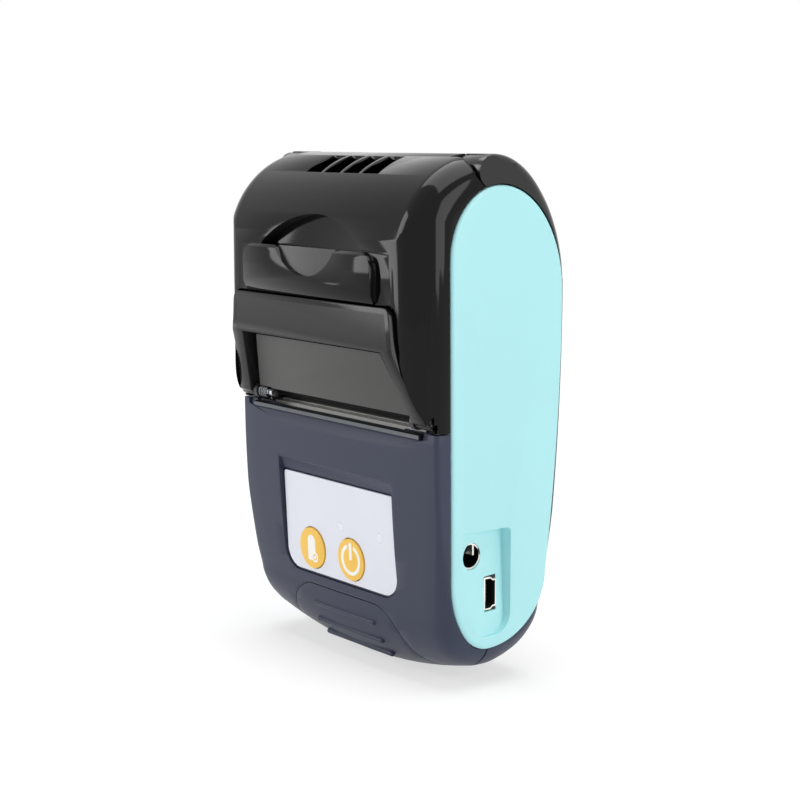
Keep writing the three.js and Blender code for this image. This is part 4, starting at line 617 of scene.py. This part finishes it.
def lever_mouth(top_z):
    knee, low = 26.3, 49.3
    flare = (30.8 - knee) / (KNEE_Z - PIVOT[1])
    foot, top = knee + flare * (KNEE_Z - low), knee + flare * (KNEE_Z - top_z)
    return [(-foot, low), (foot, low), (top, top_z), (-top, top_z)]


def lever_seat(name, margin):
    seat = prism(name, "x", lever_side(margin), -PAST, PAST)
    carve(seat, [prism("lever face", "y", lever_face(margin), -PAST, 0)], "INTERSECT")
    return seat


seat_wall = lever_seat("seat wall", 1.9)
carve(seat_wall, [lid_middle, block("above foot", (-PAST, -PAST, 61.2), (PAST, 0, TALL))], "INTERSECT")
carve(seat_wall, [rod("platen room", "x", 5.88, (-7.5, 62), -PAST, PAST, 64)])
settle(seat_wall)

PAD_HALF, PAD_FOOT, PAD_TOP = 24, 83.8, 94.6
pad = prism("pad", "x", [
    (-20.2, PAD_FOOT), (-21.75, PAD_FOOT), (-22.9, 86.1), (-22.9, 94.0), (-22.3, PAD_TOP),
    (-20.2, PAD_TOP)], -PAD_HALF, PAD_HALF)
carve(pad, [prism("pad face", "y", plate(PAD_HALF, PAD_FOOT, PAD_TOP, 0.6, 3.5), -PAST, 0)], "INTERSECT")
settle(pad)
MOON_HALF, MOON_DROP, MOON_FLOOR = 11.4, 6.3, -21.6
moon_radius = (MOON_HALF ** 2 + MOON_DROP ** 2) / (2 * MOON_DROP)
moon = rod("moon", "y", moon_radius, (0, PAD_TOP - MOON_DROP + moon_radius), -33, MOON_FLOOR, 160)
carve(moon, [block("moon room", (-PAST, -PAST, 0), (PAST, 0, 104))], "INTERSECT")
settle(moon)
SCOOP_HALF, SCOOP_RISE, SCOOP_TOP = 19.3, 7.2, 101.8
scoop_radius = (SCOOP_HALF ** 2 + SCOOP_RISE ** 2) / (2 * SCOOP_RISE)
scoop = prism("scoop", "x", [
    (-18.8, PAD_TOP), (-16.4, SCOOP_TOP), (-PAST, SCOOP_TOP), (-PAST, PAD_TOP)], -SCOOP_HALF, SCOOP_HALF)
carve(scoop, [
    rod("scoop disc", "y", scoop_radius, (0, SCOOP_TOP - scoop_radius), -PAST, 0, 200)], "INTERSECT")
settle(scoop)
scoop_wall = prism("scoop wall", "x", [
    (-18.8, 91.1), (-16.8, 91.1), (-16.8, PAD_TOP), (-14.4, SCOOP_TOP), (-19.8, SCOOP_TOP), (-19.8, 91.1)],
    -SCOOP_HALF, SCOOP_HALF)
carve(scoop_wall, [lid_middle], "INTERSECT")
settle(scoop_wall)
boss_rooms = [rod("boss room", "x", 1.9, PIVOT, low, high) for low, high in ((-36.3, -30.6), (30.6, 36.3))]
lid_mouth = prism("lid mouth", "y", lever_mouth(73.8), -PAST, -7.5)
VENT_PITCH, VENT_HALF = 7, 2.9
vents = [
    block("vent", (middle - VENT_HALF, -12.5, 93.5), (middle + VENT_HALF, -5.0, 130))
    for middle in [(i - 1.5) * VENT_PITCH for i in range(4)]]

lid = lid_block("lid_moulding", 0, WIDTH, 1.4)
carve(lid, [lid_inner, block("lid foot room", (-PANEL_X, -15.2, 47), (PANEL_X, TALL, 59))])
carve(lid, [pad, scoop_wall, seat_wall], "UNION")
carve(lid, [block("lid room", (-PAST, -PAST, LID_FOOT), (PAST, HINGE[0], 200))], "INTERSECT")
carve(lid, [
    prism("panel window", "x", panel_side(SEAM), -PAST, PAST),
    block("side reach left", (-PAST, -4.65, HINGE[1]), (-BARREL_HALF, TALL, 200)),
    block("side reach right", (BARREL_HALF, -4.65, HINGE[1]), (PAST, TALL, 200)),
    lever_seat("lever room", 0.4),
    *boss_rooms,
    lid_mouth,
    block("foot cut", (-PAST, -PAST, 0), (PAST, *PIVOT)),
    moon, scoop, *vents,
    rod("knuckle clear left", "x", 3.65, HINGE, -PAST, -BARREL_HALF, 64),
    rod("knuckle clear right", "x", 3.65, HINGE, BARREL_HALF, PAST, 64)])
carve(lid, [rod("barrel", "x", 3.5, HINGE, -BARREL_HALF, BARREL_HALF, 96)], "UNION")
carve(lid, [rod("barrel bore", "x", PIN_BORE, HINGE, -PANEL_X, PANEL_X, 32)])
settle(lid, 28, 0.2)
dress(lid, gloss)
# A rough black with a fine grain for the dent's floor and the scoop's arch. Its lighter grey than the gloss
# is painted sheen.
grain_and_painted_sheen = moulded("grained_black_painted_sheen", (40, 40, 41), 0.4, 2500, 0.000006, 0.0)
lid.data.materials.append(grain_and_painted_sheen.material)
for face in lid.data.polygons:
    x, y, z = face.center / MM
    in_moon = abs(x) < MOON_HALF + 0.2 and abs(y - MOON_FLOOR) < 0.2 and 88 < z < PAD_TOP + 0.1
    in_scoop = abs(x) < SCOOP_HALF + 0.1 and y < -14 and PAD_TOP + 0.1 < z < SCOOP_TOP + 0.1
    moon_floor = face.normal.y < -0.98 and in_moon
    arch_wall = abs(face.normal.y) < 0.1 and in_scoop
    face.material_index = int(moon_floor or arch_wall)
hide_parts("lid")
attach(lid, "lid")

# Release lever
# A U-shaped bail of satin black plastic: a bar to pull on, with two flared arms that hook over pins.
# Its outer rim is darker and glossier than its face.
satin_black = moulded("satin_black", (34, 34, 35), 0.34, 3000, 0.00001, 0.03)
satin_black.shader.inputs["Specular IOR Level"].default_value = 0.25
x, _, z = satin_black.axes()
below = (0.0834 - z) / 0.0256
flank = (x.maths("ABSOLUTE") - below * below * 0.0064).step(0.0281, 0.0004)
rim = flank.maths("MAXIMUM", z.step(0.0822, 0.0003))
tint = Value(satin_black.tree, satin_black.shader.inputs["Base Color"].links[0].from_socket)
dull = Value(satin_black.tree, satin_black.shader.inputs["Roughness"].links[0].from_socket)
satin_black.give("Base Color", satin_black.blend(rim, tint, (0.006, 0.006, 0.006, 1)))
satin_black.give("Roughness", dull * (1 - rim) + rim * 0.12)
lever = lever_seat("release_lever_moulding", 0)
carve(lever, [prism("lever plan", "z", lid_plan(-0.9), 0, 200)], "INTERSECT")
carve(lever, [prism("lever mouth", "y", lever_mouth(KNEE_Z), -PAST, 0)])
carve(lever, [
    rod("lever boss", "x", 1.5, PIVOT, low, high) for low, high in ((-35.7, -30.9), (30.9, 35.7))], "UNION")
carve(lever, [rod("lever bore", "x", 1.2, PIVOT, -46, 46, 32)])
settle(lever, 28, 0.5)
dress(lever, satin_black)
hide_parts("release_lever")
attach(lever, "lever")

# Slot panel
# The plain grey plate between the lever's arms, with a lip that guides the paper out.
SLOT_FOOT, SLOT_TOP, SLOT_HALF = 60.4, 73.5, 28.5
panel_grey = moulded("slot_panel_grey", (66, 66, 65), 0.48, 3000, 0.00001, 0.03)
slot_panel = prism("slot_panel_moulding", "x", [
    (-15.7, SLOT_FOOT), (-12.7, SLOT_FOOT), (-12.7, 61.15), (-14.2, 61.9), (-18.42, SLOT_TOP),
    (-19.92, SLOT_TOP)], -SLOT_HALF, SLOT_HALF)
carve(slot_panel, [prism("slot panel face", "y", [
    (-SLOT_HALF, SLOT_FOOT), (SLOT_HALF, SLOT_FOOT), (23.6, SLOT_TOP), (-23.6, SLOT_TOP)],
    -PAST, 0)], "INTERSECT")
carve(slot_panel, [rod("spring room", "x", 1.8, PIVOT, -PAST, -23.7)])
settle(slot_panel, 28, 0.15)
dress(slot_panel, panel_grey)
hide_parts("lid_slot_panel")
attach(slot_panel, "lid")

# Label film
# A pale printed film with rounded lower corners, stuck in the pocket round the keys and lamps.
film = Finish("label_film", (233, 236, 247), 0.34)
haze = film.noise(60, 2.0)
film.give("Base Color", film.blend(haze, film.tone(0.97), film.tone(1.02)))
film.bump(film.noise(1800, 2.0), 0.000004)
label = on_label(prism("label_film_sheet", "y", plate(20.9, -LABEL_HALF, LABEL_HALF, 4.6, 0.8), 0, 0.45))
carve(label, [
    on_label(rod("key hole", "y", KEY_HOLE, (x, label_z(z)), -2, 2, 64)) for x, z in KEYS.values()])
carve(label, [
    on_label(rod("lamp hole", "y", 1.12, (x, label_z(z)), -2, 2, 32)) for x, z in LAMPS.values()])
settle(label, 30, 0.06)
dress(label, film)
widest = max(face.area for face in label.data.polygons)
for face in label.data.polygons:
    face.use_smooth = face.area < 0.02 * widest
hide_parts("label_overlay")
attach(label, "base")

# Keys
# Two round orange keys under the film's holes, printed in white with a sheet for feeding paper and
# a broken ring with a bar for power.


def key_finish(name):
    finish = Finish(name, (255, 201, 78), 0.36)
    x, _, z = finish.axes()
    return finish, x, z


def ink(finish, mask):
    ground = finish.blend(finish.noise(90, 2.0), finish.tone(0.97), finish.tone(1.03))
    finish.give("Base Color", finish.blend(mask, ground, (1.0, 0.99, 0.94, 1)))
    finish.bump(finish.noise(2500, 2.0), 0.000006)


def band(value, centre, half):
    return 1 - (value - centre).maths("ABSOLUTE").step(half, 0.00012)


def distance(across, up):
    return (across * across + up * up).maths("SQRT")


power, px, pz = key_finish("key_power_orange")
dx, dz = px - KEYS["power"][0] * MM, pz - (KEYS["power"][1] - 0.05) * MM
ring = band(distance(dx, dz), 3.15 * MM, 0.42 * MM)
open_top = band(dx, 0, 1.15 * MM) * dz.step(1.2 * MM, 0.0001)
bar = band(dx, 0, 0.48 * MM) * band(dz, 1.95 * MM, 1.95 * MM)
ink(power, (ring * (1 - open_top)).maths("MAXIMUM", bar))
feed, fx, fz = key_finish("key_feed_orange")
dx, dz = fx - KEYS["feed"][0] * MM, fz - KEYS["feed"][1] * MM
head = (dz - 1.6 * MM).maths("MAXIMUM", 0.0)
sheet = band(distance(dx + 0.2 * MM, head), 0, 1.45 * MM) * dz.step(-3.0 * MM, 0.0001)
reach = distance(dx - 1.0 * MM, dz + 2.1 * MM)
curl, hole = band(reach, 0, 1.2 * MM), band(reach, 0.6 * MM, 0.14 * MM)
ink(feed, sheet.maths("MAXIMUM", curl) * (1 - hole))
for key, finish in (("feed", feed), ("power", power)):
    x, z = KEYS[key]
    surface = LABEL_Y + math.tan(lean) * (LABEL_Z - z)
    stem_end = -7.65 - surface - 0.8
    cap = on_label(rod(f"{key}_key_cap", "y", 4.8, (x, label_z(z)), -0.35, 2.7, 96))
    carve(cap, [
        on_label(rod("key flange", "y", 5.7, (x, label_z(z)), 2.7, 3.3, 64)),
        on_label(rod("key stem", "y", 1.5, (x, label_z(z)), 3.0, stem_end, 32))], "UNION")
    settle(cap, 30, 0.18)
    dress(cap, finish)
    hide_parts(f"{key}_button")
    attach(cap, f"{key}_key")

# Tear bar
# A strip of dark steel on the rim of the front shell, its top edge cut into fine teeth.
steel = Finish("tear_bar_steel", (92, 95, 98), 0.36, 1.0)
grain = steel.noise(700, 3.0, (1, 40, 40))
steel.give("Roughness", grain * 0.2 + 0.28)
steel.give("Base Color", steel.blend(grain, steel.tone(0.8), steel.tone(1.15)))
steel.bump(grain, 0.000004)
blade = prism("tear_bar_strip", "x", [
    (-15.05, 56.75), (-15.6, 56.5), (-15.6, 55.65), (-14.1, 55.65), (-14.1, 56.75)], -31.3, 31.3)
tree = bpy.data.node_groups.new("tear teeth", "GeometryNodeTree")
tree.interface.new_socket("Geometry", in_out="INPUT", socket_type="NodeSocketGeometry")
for name, value in (("Pitch", 0.9 * MM), ("Tooth size", 0.55 * MM), ("Span", 61.5 * MM)):
    tree.interface.new_socket(name, in_out="INPUT", socket_type="NodeSocketFloat").default_value = value
tree.interface.new_socket("Geometry", in_out="OUTPUT", socket_type="NodeSocketGeometry")
add = tree.nodes.new
link = tree.links.new
entry, exit_node = add("NodeGroupInput"), add("NodeGroupOutput")
count = add("ShaderNodeMath")
count.operation = "DIVIDE"
link(entry.outputs["Span"], count.inputs[0])
link(entry.outputs["Pitch"], count.inputs[1])
row = add("GeometryNodeMeshLine")
row.mode = "OFFSET"
link(count.outputs[0], row.inputs["Count"])
row.inputs["Start Location"].default_value = (-30.6 * MM, -14.55 * MM, 56.72 * MM)
step = add("ShaderNodeCombineXYZ")
link(entry.outputs["Pitch"], step.inputs["X"])
link(step.outputs[0], row.inputs["Offset"])
tooth = add("GeometryNodeMeshCone")
tooth.inputs["Vertices"].default_value = 4
tooth.inputs["Radius Top"].default_value = 0.05 * MM
tooth.inputs["Depth"].default_value = 0.28 * MM
link(entry.outputs["Tooth size"], tooth.inputs["Radius Bottom"])
spread = add("GeometryNodeInstanceOnPoints")
spread.inputs["Rotation"].default_value = (0, 0, math.pi / 4)
link(row.outputs["Mesh"], spread.inputs["Points"])
link(tooth.outputs["Mesh"], spread.inputs["Instance"])
real = add("GeometryNodeRealizeInstances")
link(spread.outputs["Instances"], real.inputs[0])
join = add("GeometryNodeJoinGeometry")
link(entry.outputs["Geometry"], join.inputs[0])
link(real.outputs[0], join.inputs[0])
paint = add("GeometryNodeSetMaterial")
paint.inputs["Material"].default_value = steel.material
link(join.outputs[0], paint.inputs[0])
link(paint.outputs[0], exit_node.inputs[0])
teeth = blade.modifiers.new("teeth", "NODES")
teeth.node_group = tree
settle(blade, 25)
dress(blade, steel)
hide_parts("tear_bar")
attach(blade, "base")

# Lever spring
# A coil of thin spring wire wound round the left pin of the lever.
spring_steel = Finish("spring_wire", (120, 122, 126), 0.28, 1.0)
spring_steel.give("Roughness", spring_steel.noise(3000, 2.0) * 0.15 + 0.2)
coil = bpy.data.objects.new("lever_spring_coil", bpy.data.meshes.new("coil start"))
scene.collection.objects.link(coil)
wind = bpy.data.node_groups.new("coil", "GeometryNodeTree")
wind.interface.new_socket("Geometry", in_out="INPUT", socket_type="NodeSocketGeometry")
for name, value in (
        ("Turns", 4.0), ("Coil radius", 1.375 * MM), ("Length", 3.2 * MM), ("Wire radius", 0.175 * MM)):
    wind.interface.new_socket(name, in_out="INPUT", socket_type="NodeSocketFloat").default_value = value
wind.interface.new_socket("Geometry", in_out="OUTPUT", socket_type="NodeSocketGeometry")
add, link = wind.nodes.new, wind.links.new
entry, exit_node = add("NodeGroupInput"), add("NodeGroupOutput")
spiral = add("GeometryNodeCurveSpiral")
spiral.inputs["Resolution"].default_value = 40
link(entry.outputs["Turns"], spiral.inputs["Rotations"])
link(entry.outputs["Coil radius"], spiral.inputs["Start Radius"])
link(entry.outputs["Coil radius"], spiral.inputs["End Radius"])
link(entry.outputs["Length"], spiral.inputs["Height"])
section = add("GeometryNodeCurvePrimitiveCircle")
section.inputs["Resolution"].default_value = 12
link(entry.outputs["Wire radius"], section.inputs["Radius"])
tube = add("GeometryNodeCurveToMesh")
tube.inputs["Fill Caps"].default_value = True
link(spiral.outputs[0], tube.inputs["Curve"])
link(section.outputs[0], tube.inputs["Profile Curve"])
turn = add("GeometryNodeTransform")
turn.inputs["Rotation"].default_value = (0, math.pi / 2, 0)
turn.inputs["Translation"].default_value = (-28.62 * MM, PIVOT[0] * MM, PIVOT[1] * MM)
link(tube.outputs[0], turn.inputs["Geometry"])
paint = add("GeometryNodeSetMaterial")
paint.inputs["Material"].default_value = spring_steel.material
link(turn.outputs[0], paint.inputs[0])
link(paint.outputs[0], exit_node.inputs[0])
coil.modifiers.new("wind", "NODES").node_group = wind
settle(coil, 60)
dress(coil, spring_steel)
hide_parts("lever_spring")
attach(coil, "lid")

# Works and fittings
# The pieces that stay as they were made: steel pins and frame, nylon gears, rubber platen, paper,
# board and battery, each in its own finish.
metals = {}
for name, colour, rough, stretch in (
        ("pin_steel", (205, 208, 212), 0.18, (1, 30, 30)), ("screw_steel", (112, 115, 121), 0.32, None),
        ("frame_steel", (172, 176, 181), 0.36, (1, 12, 12)), ("motor_can", (162, 166, 171), 0.3, (1, 20, 20)),
        ("heat_sink", (180, 183, 186), 0.38, (1, 25, 25)), ("socket_steel", (236, 232, 224), 0.42, None)):
    finish = Finish(name, colour, rough, 1.0)
    streak = finish.noise(500, 3.0, stretch)
    finish.give("Roughness", streak * 0.2 + (rough - 0.1))
    finish.give("Base Color", finish.blend(streak, finish.tone(0.86), finish.tone(1.08)))
    finish.bump(streak, 0.000003)
    metals[name] = finish
nylon = moulded("gear_nylon", (230, 228, 220), 0.4, 2500, 0.000006, 0.03)
rubber = moulded("platen_rubber", (30, 30, 31), 0.72, 2800, 0.00003, 0.06)
bin_plastic = moulded("bin_plastic", (40, 41, 43), 0.45, 2600, 0.00001, 0.04)
switch_plastic = moulded("switch_plastic", (27, 27, 28), 0.42, 3000, 0.00001, 0.04)
jack_plastic = moulded("jack_plastic", (17, 17, 17), 0.35, 3000, 0.00001, 0.04)
tray_plastic = moulded("tray_plastic", (52, 54, 61), 0.5, 2400, 0.00001, 0.04)
ceramic = moulded("head_ceramic", (244, 244, 240), 0.22, 1500, 0.000003, 0.02)
lamp_clear = moulded("lamp_diffuser", (240, 243, 251), 0.25, 2000, 0.000004, 0.01)
wrap = moulded("battery_wrap", (44, 78, 146), 0.28, 1200, 0.00001, 0.06)
card = moulded("core_card", (185, 160, 124), 0.8, 1500, 0.00004, 0.12)
thermal_paper = Finish("thermal_paper", (240, 239, 235), 0.6)
_, py, pz = thermal_paper.axes()
fibre = thermal_paper.noise(2200, 3.0)
layers = thermal_paper.node("ShaderNodeTexNoise", {"noise_dimensions": "1D"}, {
    "W": distance(py - 0.0014, pz - 0.0906) * 9000, "Scale": 1.0, "Detail": 1.0})
thermal_paper.give(
    "Base Color", thermal_paper.blend(layers, thermal_paper.tone(0.9), thermal_paper.tone(1.02)))
thermal_paper.bump(fibre * 0.6 + layers * 0.4, 0.00001)
solder_mask = Finish("board_green", (32, 94, 60), 0.35)
upright = solder_mask.node("ShaderNodeMapping", {}, {
    "Vector": solder_mask.place, "Rotation": (math.pi / 2, 0, 0), "Scale": (260, 260, 260)})
tracks = solder_mask.node("ShaderNodeTexBrick", {}, {
    "Vector": upright, "Scale": 1.0, "Mortar Size": 0.03}, "Fac")
solder_mask.give("Base Color", solder_mask.blend(tracks, solder_mask.tone(0.85), solder_mask.tone(1.7)))
solder_mask.bump(tracks, 0.00002)
finishes = {
    "pin_steel": ("hinge_pin", "lever_pin_left", "lever_pin_right", "platen_shaft", "motor_pinion"),
    "screw_steel": ("head_spring_left", "head_spring_right"),
    "frame_steel": ("mechanism_frame",), "motor_can": ("stepper_motor",),
    "heat_sink": ("head_heat_sink",)}
for name, nodes in finishes.items():
    for node in nodes:
        dress(bpy.data.objects[node], metals[name])
for finish, nodes in (
        (nylon, ("platen_bush_left", "platen_bush_right", "platen_gear", "idler_gear")),
        (rubber, ("platen_roller",)), (bin_plastic, ("paper_bin", "lid_inner_frame")),
        (switch_plastic, ("feed_switch", "power_switch")),
        (tray_plastic, ("battery_tray",)), (ceramic, ("print_head",)),
        (lamp_clear, ("lamp_window_left", "lamp_window_right")), (wrap, ("battery_pack",)),
        (card, ("paper_core",)), (thermal_paper, ("paper_roll", "paper_web")),
        (solder_mask, ("main_board",))):
    for node in nodes:
        dress(bpy.data.objects[node], finish)

# Charging inlet
# A black round socket pressed behind the panel, with a steel pin in its middle and a leaf contact.
jack = rod("charging_inlet", "x", 2.8, JACK, 25, 35.9, 64)
carve(jack, [rod("inlet bore", "x", 2.5, JACK, 26.5, PAST, 64)])
pin = rod("inlet pin", "x", 0.4, JACK, 26, 33.4, 32)
leaf = block("inlet leaf", (26, JACK[0] + 0.75, JACK[1] + 0.1), (35.8, JACK[0] + 1.15, JACK[1] + 2.4))
carve(jack, [pin, leaf], "UNION")
settle(jack, 30)
dress(jack, jack_plastic)
jack.data.materials.append(metals["socket_steel"].material)
for face in jack.data.polygons:
    y, z = face.center.y / MM - JACK[0], face.center.z / MM - JACK[1]
    in_bore = face.center.x > 26.6 * MM and math.hypot(y, z) < 2.3
    face.material_index = int(in_bore and (math.hypot(y, z) < 0.45 or (0.6 < y < 1.2 and z > 0)))
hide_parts("dc_jack")
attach(jack, "base")

# Data socket
# A bent steel shell with stepped ends in a black holder, round a tongue that carries five contacts.
# The shell's inner faces are painted near-black, a painted shade for the dark inside its mouth.


def socket_outline(inset):
    half, full, short = 1.8 - inset, 3.65 - inset, 3.1 - inset
    right = [(half, -short), (half, short), (0.7, short), (0.1, full)]
    left = [(-half, full), (-half, -full)]
    return [(USB[0] + y, USB[1] + z) for y, z in right + left + [(0.1, -full), (0.7, -short)]]


shell = prism("data_socket_shell", "x", socket_outline(0.05), 27.1, 35.9)
carve(shell, [prism("shell mouth", "x", socket_outline(0.4), 20, PAST)])
settle(shell, 30, 0.06)
dress(shell, metals["socket_steel"])
# Painted shade: the inner faces of the steel shell get a near-black finish in place of the shade inside the
# socket.
painted_shade = moulded("socket_inside_painted_shade", (14, 14, 14), 0.5, 3000, 0.00001, 0.04)
shell.data.materials.append(painted_shade.material)
for face in shell.data.polygons:
    y, z = face.center.y / MM - USB[0], face.center.z / MM - USB[1]
    outward = y * face.normal.y + z * face.normal.z
    face.material_index = int(outward < -0.5 and face.center.x < 35.7 * MM)
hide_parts("usb_socket")
holder = block("data_socket_holder", (26, USB[0] - 1.9, USB[1] - 3.85), (35.3, USB[0] + 1.9, USB[1] + 3.85))
carve(holder, [prism("holder mouth", "x", socket_outline(0), 27, PAST)])
carve(holder, [
    block("tongue root", (26.2, USB[0] - 1.0, USB[1] - 2.4), (34.7, USB[0] - 0.2, USB[1] + 2.4))], "UNION")
settle(holder, 30)
contact = moulded("socket_holder", (9, 9, 9), 0.5, 3000, 0.00001, 0.04)
x, y, z = contact.axes()
stripes = ((z - USB[1] * MM) / (0.8 * MM) + 0.5).maths("FRACT")
on_face = band(y, (USB[0] - 0.2) * MM, 0.1 * MM) * band(x, 34.5 * MM, 0.5 * MM)
bare = band(stripes, 0.5, 0.28) * band(z, USB[1] * MM, 2.0 * MM) * on_face
tint = Value(contact.tree, contact.shader.inputs["Base Color"].links[0].from_socket)
contact.give("Base Color", contact.blend(bare, tint, (0.3, 0.3, 0.28, 1)))
dress(holder, contact)
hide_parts("usb_tongue")
for piece, name in ((shell, "usb_steel"), (holder, "switch_black")):
    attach(piece, "base")

# Back screws
# Four pan-head screws sunk in the back, each with a cross cut in its head.
template = rod("screw template", "y", 2.3, (0, 0), -1.3, 0, 40)
carve(template, [rod("screw shank", "y", 1.1, (0, 0), -8, -1.0, 20)], "UNION")
carve(template, [
    block("cross a", (-1.5, -0.7, -0.3), (1.5, 1, 0.3)),
    block("cross b", (-0.3, -0.7, -1.5), (0.3, 1, 1.5))])
settle(template, 30, 0.15)
for x, z in SCREWS:
    side, level = ("left" if x < 0 else "right"), ("upper" if z > 50 else "lower")
    screw = bpy.data.objects.new(f"screw_{level}_{side}", template.data.copy())
    screw.data.transform(mathutils.Matrix.Translation((x * MM, (back_y(z) - 1) * MM, z * MM)))
    scene.collection.objects.link(screw)
    dress(screw, metals["screw_steel"])
    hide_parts(f"back_screw_{level}_{side}")
    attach(screw, "base")
for spare in (template, *kept):
    bpy.data.objects.remove(spare)

# Studio
# A white floor that fades into a white ground, with soft boxes above and to both sides.
floor = block("floor", (-900, -900, -2), (900, 1500, -0.02))
ground = Finish("floor_white", (250, 250, 250), 0.9)
ground.bump(ground.noise(40, 2.0), 0.0001)
far = ground.node("ShaderNodeVectorMath", {"operation": "LENGTH"}, {0: ground.place}, 1)
rays = [
    ground.node("ShaderNodeLightPath", {}, {}, ray)
    for ray in ("Is Camera Ray", "Is Glossy Ray", "Is Transmission Ray")]
FLOOR_GLOW, NEAR_SHARE, FAR_GAIN = 1.12, 0.55, 0.45
seen = (rays[0] + rays[1] + rays[2]).maths("MINIMUM", 1.0)
seen *= far.step(0.26, 0.3) * FAR_GAIN + NEAR_SHARE
glow = ground.tree.nodes.new("ShaderNodeEmission")
glow.inputs["Color"].default_value = (1, 1, 1, 1)
glow.inputs["Strength"].default_value = FLOOR_GLOW
fade = ground.tree.nodes.new("ShaderNodeMixShader")
ground.tree.links.new(seen.socket, fade.inputs[0])
ground.tree.links.new(ground.shader.outputs[0], fade.inputs[1])
ground.tree.links.new(glow.outputs[0], fade.inputs[2])
ground.tree.links.new(fade.outputs[0], ground.tree.nodes["Material Output"].inputs["Surface"])
dress(floor, ground)


OBJECT_MIDDLE = mathutils.Vector((0, 0, 0.057))


def softbox(name, place, size, energy):
    lamp = bpy.data.objects.new(name, bpy.data.lights.new(name, "AREA"))
    lamp.data.shape = "RECTANGLE"
    lamp.data.size, lamp.data.size_y = size
    lamp.data.energy = energy
    lamp.location = place
    view = OBJECT_MIDDLE - mathutils.Vector(place)
    lamp.rotation_euler = view.to_track_quat("-Z", "Y").to_euler()
    scene.collection.objects.link(lamp)


softbox("overhead", (0.0, 0.05, 0.75), (0.9, 0.5), 5.0)
softbox("right", (0.75, 0.15, 0.3), (0.4, 0.6), 2.4)
softbox("left", (-0.45, -0.6, 0.3), (0.25, 0.6), 2.4)
world = bpy.data.worlds.new("studio")
world.use_nodes = True
scene.world = world
sky = world.node_tree
light_path = sky.nodes.new("ShaderNodeLightPath")
dim, white = sky.nodes["Background"], sky.nodes.new("ShaderNodeBackground")
dim.inputs["Color"].default_value = (1, 1, 1, 1)
dim.inputs["Strength"].default_value = 0.25
white.inputs["Color"].default_value = (1, 1, 1, 1)
direct = Value(sky, light_path.outputs["Is Camera Ray"])
through = Value(sky, light_path.outputs["Is Transmission Ray"])
mirrored = Value(sky, light_path.outputs["Is Glossy Ray"]) + through
mix = sky.nodes.new("ShaderNodeMixShader")
sky.links.new((direct + mirrored).maths("MINIMUM", 1.0).socket, mix.inputs[0])
sky.links.new(dim.outputs[0], mix.inputs[1])
sky.links.new(white.outputs[0], mix.inputs[2])
sky.links.new(mix.outputs[0], sky.nodes["World Output"].inputs["Surface"])
